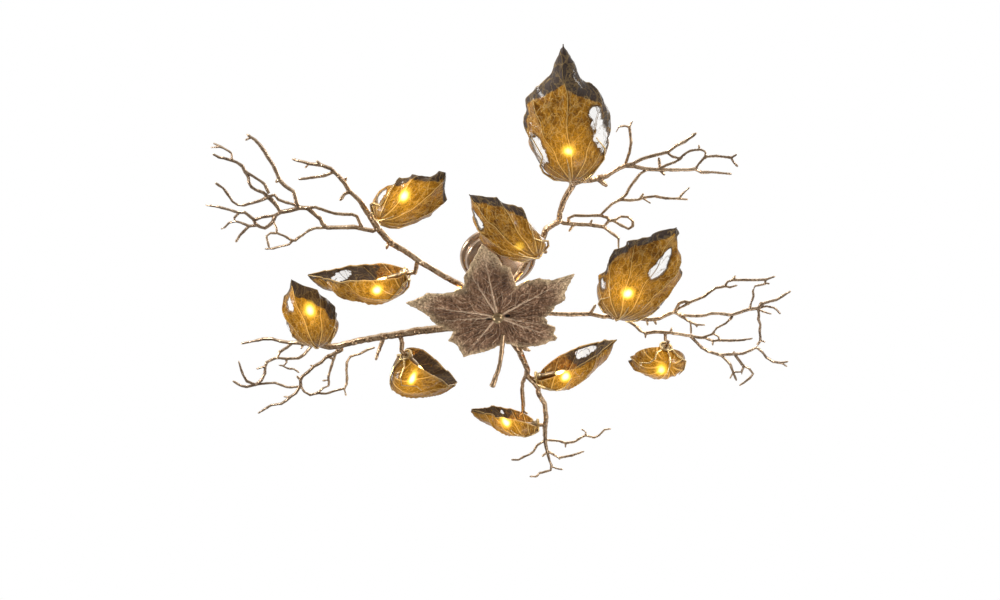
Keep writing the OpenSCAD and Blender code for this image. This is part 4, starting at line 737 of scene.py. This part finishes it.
def lamp(name, origin, ahead):
    """A clear capsule with its pinched base and its glowing core, along the lamp's axis. Its
    piece, node and body share one name."""
    piece(name + "_capsule", [(*turned(capsule_line, origin, ahead, 40), capsule_glass),
                              (*turned(core_line, origin, ahead, 24), lamp_core),
                              (*turned(pinch_line, origin, ahead, 28), lamp_pinch)],
          name, name)


calyx_shells, holder_shells = [], []
for number, (foot, ahead, *_) in enumerate(frames):
    calyx_shells.append((*turned(calyx_line, foot, ahead, 64), turned_gold))
    holder_shells.append((*turned(holder_line, foot, ahead, 48), holder_brass))
    lamp("lamp_%d" % (number + 1), foot, ahead)
arm_angles, arm_level, arm_end = (216.5, -55, 115), -8, 26 + touch + 20
for number, degrees in enumerate(arm_angles):
    turn = math.radians(degrees)
    ahead = np.array((math.cos(turn), math.sin(turn), 0))
    origin = ahead * arm_end + (0, 0, arm_level - hub_drop)
    holder_shells.append((*turned(holder_line, origin, ahead, 48), holder_brass))
    lamp("hub_lamp_%d" % (number + 1), origin, ahead)
piece("calyx_cups_turned", calyx_shells, "root", "calyx_cups")
piece("lampholders_brass", holder_shells, "root", "lampholders")

# ---- Glass leaves ----
# Ten cupped leaves of amber art glass with darker margins, pressed hot over a veined mould.
# Their rims are ground into soft teeth. The claws grip them by the foot. The light of the lamp
# inside is painted onto the amber as a glow, and bright patches painted near white stand for
# reflections.
glass_wall, glass_start = 3, 3
# The reach of the painted lamp glow and of its bright core, and how softly the darker margins fade,
# in mm.
lit_radius, core_radius, band_fade = 37, 12.5, 22
calyx_radius, glass_gap = 12, 0.3
foot_radius = (calyx_radius + glass_gap) / math.cos(math.radians(17)) + glass_wall
# Half width and depth along a leaf, as shares: for the slender, shouldered and blunt outlines.
low_share = (0, 0.03, 0.08, 0.16, 0.28, 0.42, 0.55)
slender_share = (*low_share, 0.68, 0.8, 0.9, 1)
slender_width = (0, 0.34, 0.56, 0.78, 0.95, 1, 0.96, 0.82, 0.58, 0.32, -0.1)
shoulder_share = (*low_share, 0.67, 0.72, 0.8, 0.9, 1)
shoulder_width = (0, 0.34, 0.56, 0.78, 0.95, 1, 0.99, 0.93, 0.62, 0.34, 0.14, -0.1)
blunt_share = (*low_share, 0.68, 0.8, 0.87, 0.93, 1)
blunt_width = (0, 0.34, 0.56, 0.78, 0.94, 1, 1.02, 1, 0.92, 0.7, 0.36, -0.1)
depth_share = (0, 0.03, 0.08, 0.16, 0.3, 0.5, 0.7, 0.85, 1)
depth_size = (0, 0.3, 0.52, 0.76, 1, 0.94, 0.68, 0.36, -0.15)

# For each leaf: the centre of its painted lamp glow along it and to its side, that glow's
# strength, the widths of the darker margins at the tip and on the two sides (all mm), the
# painted white glints, standing for reflections, as shares (along, across) with a size each,
# and the lobes and dips of its rim as (side, place, spread, mm outwards).
leaf_looks = [
    ((105, -5), 0.8, (100, 15, 32),
     [(0.57, 0.45, 1.0), (0.43, 0.54, 1.3), (0.32, 0.64, 1.0), (0.38, -0.6, 1.1),
      (0.29, -0.5, 0.9), (0.2, -0.7, 0.9)],
     [(1, 0.70, 0.12, -15), (-1, 0.18, 0.1, -8), (-1, 0.52, 0.04, 8), (-1, 0.66, 0.03, 5)]),
    ((90, -30), 0.95, (12, 19, 6), [(0.25, -0.82, 0.9), (0.17, -0.66, 0.9)],
     [(-1, 0.8, 0.10, -27), (1, 0.6, 0.22, 14), (1, 0.84, 0.06, 12), (-1, 0.6, 0.04, -6)]),
    ((75, 5), 0.35, (3, 0, 17), [(0.78, -0.45, 1.1), (0.84, -0.64, 0.8), (0.3, -0.76, 0.8)],
     [(-1, 0.35, 0.2, 10), (1, 0.25, 0.24, -22), (1, 0.66, 0.06, -9)]),
    ((58, 80), 1.0, (0, 62, 3), [(0.70, -0.80, 1.0), (0.76, -0.66, 0.8)],
     [(-1, 0.3, 0.12, 8), (-1, 0.7, 0.05, -4), (-1, 0.86, 0.03, 8)]),
    ((120, 20), 0.9, (14, 4, 30), [(0.75, -0.38, 1.0), (0.8, -0.56, 0.9), (0.4, -0.76, 0.8)],
     [(-1, 0.5, 0.22, -10), (1, 0.8, 0.07, 12), (-1, 0.64, 0.03, -6)]),
    ((105, -25), 1.0, (10, 17, 8),
     [(0.34, -0.74, 0.9), (0.66, 0.05, 0.8), (0.74, 0.09, 0.95), (0.82, 0.12, 0.8),
      (0.3, 0.74, 0.8)],
     [(1, 0.84, 0.13, -29), (-1, 0.83, 0.05, -19), (-1, 0.57, 0.05, 8), (-1, 0.75, 0.04, 10)]),
    ((77, -78), 1.0, (0, 3, 52), [(0.50, 0.86, 0.9), (0.58, 0.82, 0.9), (0.67, 0.86, 0.9)],
     [(1, 0.84, 0.04, 12), (1, 0.93, 0.02, -4), (-1, 0.5, 0.05, 4)]),
    ((32, -74), 1.0, (0, 5, 72), [(0.2, 0.36, 1.6), (0.2, 0.62, 1.5), (0.13, 0.05, 1.6)],
     [(1, 0.4, 0.1, 8), (1, 0.62, 0.04, -5), (-1, 0.62, 0.05, 5), (1, 0.9, 0.05, 9)]),
    ((84, 76), 1.0, (0, 40, 3), [(0.5, -0.84, 0.6)],
     [(1, 0.5, 0.05, 4), (-1, 0.7, 0.04, 5)]),
    ((28, 12), 0.8, (4, 10, 9), [(0.3, -0.72, 1.0)],
     [(-1, 0.86, 0.12, 18), (1, 0.86, 0.12, 12), (-1, 0.45, 0.14, -9)])]


def glide(x, xs, ys):
    """A smooth line through the points (xs, ys): cubic pieces with the points' own slopes."""
    xs, ys = np.array(xs, float), np.array(ys, float)
    slope = np.gradient(ys, xs)
    k = np.clip(np.searchsorted(xs, x, side="right") - 1, 0, len(xs) - 2)
    step = xs[k + 1] - xs[k]
    t = (x - xs[k]) / step
    return ((2 * t ** 3 - 3 * t ** 2 + 1) * ys[k] + (t ** 3 - 2 * t ** 2 + t) * step * slope[k]
            + (3 * t ** 2 - 2 * t ** 3) * ys[k + 1] + (t ** 3 - t ** 2) * step * slope[k + 1])


art_glass = Finish("art_glass", IOR=1.45, Specular_IOR_Level=0.16, Coat_Weight=0.14,
                   Coat_Roughness=0.05, Emission_Strength=1.0)
lit, core_lit, band, clear, rim, inner, turned_by, fan_width, reach = art_glass.attributes(
    "lit", "core_lit", "band", "clear", "rim", "inner", "turned", "fan", "reach")
wisp, speck = art_glass.cloud(52, 4, 0.6), art_glass.cloud(330, 5, 0.75)
fan_place = art_glass.node("CombineXYZ", X=turned_by * 2.6 + wisp * 0.9,
                           Y=reach * 0.034 + wisp * 0.9, Z=speck * 0.25)
rays = art_glass.node("TexNoise", Vector=fan_place, Scale=2.2, Detail=5.0, Roughness=0.6)
cracks = art_glass.node("TexVoronoi", {"feature": "DISTANCE_TO_EDGE"}, Vector=fan_place, Scale=1.7)
web = 1 - cracks.ramp(0.02, 0.07)
fan_wave = (turned_by * math.pi).calc("SINE")
swing = fan_wave * fan_width
thin = reach.ramp(190, 30) * 0.8 + 0.65
vein = 1 - (swing.calc("ABSOLUTE") / thin).ramp(0.5, 1.0)
# A painted shadow along one side of each vein.
flank = (swing / thin).ramp(0.8, 1.6) * (1 - (swing / thin).ramp(1.6, 3.4))
barb_way = (reach * 0.95 - fan_wave.calc("ABSOLUTE") * 26 + wisp * 22) / 23
barb = 1 - ((barb_way * math.pi).calc("SINE").calc("ABSOLUTE") * 7.3).ramp(0.5, 1.1)
lines = vein.calc("MAXIMUM", barb * rays.ramp(0.42, 0.5) * 0.6).calc("MAXIMUM", web * 0.34)
lines = lines * reach.ramp(10, 26)
deep = art_glass.blend(speck.ramp(0.36, 0.62), (0.035, 0.014, 0.003), (0.25, 0.092, 0.005))
bright = art_glass.blend(speck.ramp(0.38, 0.66), (0.31, 0.118, 0.006), (0.70, 0.345, 0.032))
amber = art_glass.blend((rays * 2.8 + wisp * 1.0 - 1.48).held(), deep, bright)
# The colour of the darker margins.
margin_tone = art_glass.blend(speck.ramp(0.3, 0.7), (0.020, 0.013, 0.010), (0.068, 0.045, 0.033))
brown = art_glass.blend(speck.ramp(0.35, 0.6), (0.045, 0.026, 0.012), (0.19, 0.11, 0.04))
# Brown in the margins and away from the lamp, with amber kept where the lamp glow is painted:
# painted light.
amber = art_glass.blend((band * 0.8 + (wisp - 0.5) * 2.2 - 0.12).held() * (1 - lit), amber, brown)
# Darker margins along the tip and the sides, from the band field.
dark_margin = (band + (wisp - 0.5) * 0.9 + (rays - 0.5) * 0.5).ramp(0.45, 0.6)
# The darker margin is cleared where the core of the lamp glow is painted.
dark_margin = dark_margin * (1 - core_lit.ramp(0.1, 0.5))
# Painted white glints that stand for reflections: the clear field makes patches see-through and
# paints them near white, with a dark rim painted round each.
glint_edge = clear * (rays * 2.0 + wisp * 1.0 - 0.72)
painted_glint = glint_edge.ramp(0.40, 0.46) * (1 - lines.ramp(0.35, 0.7))
# The glass's colour: darker margins, a painted shadow beside the veins, pale veins, the rim line,
# and painted white glints with dark rims.
glass_tone = art_glass.coats(
    amber, (dark_margin, margin_tone), (flank * 0.6 * (1 - dark_margin), (0.035, 0.016, 0.004)),
    (lines * (0.85 - dark_margin * 0.5) * speck.ramp(0.2, 0.4), (0.84, 0.55, 0.18)),
    ((rim * 0.9).held(), (0.66, 0.42, 0.15)),
    (glint_edge.ramp(0.2, 0.32) * 0.85, (0.05, 0.03, 0.015)), (painted_glint, (0.95, 0.91, 0.84)))
# The lamp's light shining through the amber, painted on as emission: a painted glow.
painted_lamp_glow = (lit * (0.05 + speck.ramp(0.3, 0.7) * 0.7 + lines * 0.6 + rays * 0.4)
        * (1 - dark_margin * 0.85)).held(0, 1.5)
# Emission of the glass: a dim painted glow on the inner skin, the painted lamp glow, and its
# painted hot core.
glow = art_glass.coats(
    (0.0, 0.0, 0.0), (inner, (0.028, 0.018, 0.010)), (painted_lamp_glow, (0.95, 0.40, 0.012)),
    (core_lit.ramp(0.12, 0.5) * (0.6 + speck * 0.8), (1.3, 0.80, 0.07)),
    (core_lit.ramp(0.5, 0.95), (2.4, 2.1, 1.1)))
# The painted glints are also made see-through and smoother.
art_glass.lay(Base_Color=glass_tone, Emission_Color=glow, Alpha=1 - painted_glint * 0.85,
              Roughness=(speck * 0.3 + dark_margin * 0.25 + 0.06).held(0.1, 0.5) * (1 - painted_glint * 0.8))
art_glass.emboss((speck * 0.25 + rays * 0.35 + lines * 0.5 - flank * 0.3) * (1 - painted_glint * 0.9),
                 0.0026, 0.8)


def cup_shape(number, length, u, v, inset):
    """A leaf cup in its own frame, u from foot to tip and v from rim to rim: an arc whose half
    width and depth follow smooth lines along the leaf, on a rim that rises towards the tip, with
    soft teeth and the leaf's own lobes. The skin lies inset mm inside the outer one."""
    width, deep, style, skew, crest_minus, crest_plus = leaves[number][3:]
    slender = glide(u, slender_share, slender_width)
    shoulder = glide(u, shoulder_share, shoulder_width)
    blunt = glide(u, blunt_share, blunt_width)
    mix = (slender + (shoulder - slender) * style if style < 1
           else shoulder + (blunt - shoulder) * (style - 1))
    phase = u ** 0.85 * (5.2 + length / 140) + number * 0.37 + 0.15 * np.sign(v)
    lobe = (0.5 - 0.5 * np.cos(2 * math.pi * phase)) * (0.75 + 0.25 * np.sin(9 * u + number))
    teeth = (lobe - 0.55) * np.clip(u * 6 - 1.2, 0, 1) * np.clip((1 - u) * 6, 0, 1)
    teeth = teeth * np.abs(v) ** 3 * 0.09
    bumps = sum(mm * np.exp(-((u - at) / spread) ** 2) * np.clip(side_sign * v, 0, 1) ** 2
                for side_sign, at, spread, mm in leaf_looks[number][4])
    half = foot_radius + (width / 2 - foot_radius) * mix - foot_radius * 0.75 * u ** 4
    half = np.maximum(np.maximum(half, 1.2) * (1 + teeth) + bumps,
                      np.minimum(half, foot_radius * 0.95).clip(1.2))
    depth = foot_radius + (deep - foot_radius) * glide(u, depth_share, depth_size)
    depth = np.maximum(depth - foot_radius * 0.5 * u ** 4, 1.2)
    wall = np.minimum(inset, np.minimum(half, depth) / 2)
    turn = math.pi / 2 * v
    crest = np.where(v < 0, crest_minus, crest_plus) * np.sin(math.pi * u ** 0.7)
    rise = length * math.sin(leaf_tilt) * u ** 1.4 + crest * np.abs(v) ** 3
    return np.stack([glass_start + (length * math.cos(leaf_tilt) - glass_start) * u,
                     (half - wall) * np.sin(turn) + skew * length * u ** 2.2,
                     rise - (depth - wall) * np.cos(turn)], -1)


def glass_leaf(number):
    """Outer and inner skins of one cup with the same relief: veins that spread from the foot,
    side veins off them, and the slow ripples of hot-pressed glass. A row of points runs across
    the outer skin, round one rim, back over the inner skin and round the other rim."""
    foot, ahead, across, out, length = frames[number]
    rows, columns, rim_turn = 150, 65, math.pi / 2 * 0.9
    u = np.linspace(0, 1, rows)[:, None] ** 1.12 + np.zeros(columns)
    v = (np.sin(np.linspace(-1, 1, columns) * rim_turn)[None] / math.sin(rim_turn)
         + np.zeros((rows, 1)))
    skins = [cup_shape(number, length, u, v, inset) for inset in (0, glass_wall)]
    outer = skins[0]
    normal = np.cross(np.gradient(outer, axis=0), np.gradient(outer, axis=1))
    normal /= np.maximum(np.linalg.norm(normal, axis=-1), 1e-9)[..., None]
    normal *= np.sign(normal[rows // 2, columns // 2] @ (0, 0, -1))
    walk = outer[..., 0]
    side = np.cumsum(np.linalg.norm(np.diff(outer, axis=1, prepend=outer[:, :1]), axis=-1), 1)
    side = side - side[:, columns // 2][:, None]
    edge_gap = np.where(side < 0, side - side[:, :1], side[:, -1:] - side)
    reach = np.hypot(walk - 14, side)
    angle = np.arctan2(side, walk - 14)
    wobble = (grain(outer, 34, 40 + number) - 0.5) * 0.10
    spread = math.radians(22 + 3 * math.sin(number * 2.1))
    turned_by = (angle + wobble) / spread
    gap = np.abs(np.sin(math.pi * turned_by)) * reach * spread / math.pi
    ribs = np.exp(-(gap / 3.4) ** 2) * np.clip(reach / 20 - 0.6, 0, 1)
    open_end = np.clip((1 - u) * 9, 0, 1)
    calm = np.clip(u * 4.5 - 0.9, 0.1, 1)
    flutes = (0.5 - np.abs(np.sin(math.pi * turned_by)) ** 0.7) * np.minimum(1, reach / 60)
    flutes = flutes * 5.0 * min(1, max(0.4, (length - 90) / 60))
    ripple = ((grain(outer, 40, 60 + number) - 0.5) * 6 + (grain(outer, 15, 80 + number) - 0.5)
              * 3.0 + np.abs(grain(outer, 7, 90 + number) - 0.5) * 1.6)
    relief = (ribs * 1.4 * open_end + flutes * open_end + ripple) * calm
    world_way = np.stack([ahead, across, out])
    shown = [foot + (skin + normal * relief[..., None]) @ world_way for skin in skins]
    rim_lift = 0.9 * out * np.clip((1 - u[:, :1]) * 20, 0, 1)
    left = (shown[0][:, 0] + shown[1][:, 0]) / 2 + rim_lift
    right = (shown[0][:, -1] + shown[1][:, -1]) / 2 + rim_lift
    loop = np.concatenate([shown[0], right[:, None], shown[1][:, ::-1], left[:, None]], 1)
    wide = loop.shape[1]
    faces = [loop_faces(rows, wide)]
    k, far = np.arange(columns - 1), 2 * columns
    cap = np.concatenate([np.stack([k, k + 1, far - 1 - k, far - k], 1),
                          [[0, far, far + 1, 0],
                           [columns - 1, columns, columns + 1, columns - 1]]])
    faces += [cap[:, ::-1], cap + (rows - 1) * wide]
    (glow_walk, glow_side), strength, (tip_band, minus_band, plus_band), patches, _ = (
        leaf_looks[number])
    # Where the painted lamp glow sits on each leaf: a broad field and a bright core.
    glow_gap = np.hypot(walk - glow_walk, side - glow_side)
    lit_field = np.exp(-(glow_gap / lit_radius) ** 1.4) * strength
    core_field = np.exp(-(glow_gap / core_radius) ** 2) * strength
    fade_in = np.clip((u - 0.22) * 4, 0, 1)
    band_wide = np.where(side < 0, minus_band, plus_band) * fade_in
    band_wide = band_wide + tip_band * np.clip((u - 0.6) / 0.4, 0, 1) ** 1.5
    band_field = np.clip((band_wide - edge_gap) / band_fade + 0.5, 0, 1) * fade_in * (band_wide > 0)
    # Where the painted white glints lie on each leaf.
    glint_field = sum(np.exp(-((u - at_u) / (0.07 * size)) ** 2 - ((v - at_v) / (0.15 * size)) ** 2)
                      for at_u, at_v, size in patches) + u * 0
    glint_field = glint_field * np.clip((edge_gap - 4) / 4, 0, 1)
    fields = {"lit": lit_field, "core_lit": core_field, "band": band_field,
              "clear": glint_field.clip(0, 1.2), "rim": np.abs(v) ** 90, "turned": turned_by,
              "reach": reach, "fan": reach * spread / math.pi}
    fields = {name: np.concatenate([field, field[:, -1:], field[:, ::-1], field[:, :1]], 1)
              for name, field in fields.items()}
    fields["inner"] = np.zeros((rows, wide))
    fields["inner"][:, columns + 1:-1] = 1
    name = "glass_leaf_%d" % (number + 1)
    piece(name + "_pressed", [(loop, np.concatenate(faces), art_glass)], "root", name,
          fields)


for number in range(len(leaves)):
    glass_leaf(number)
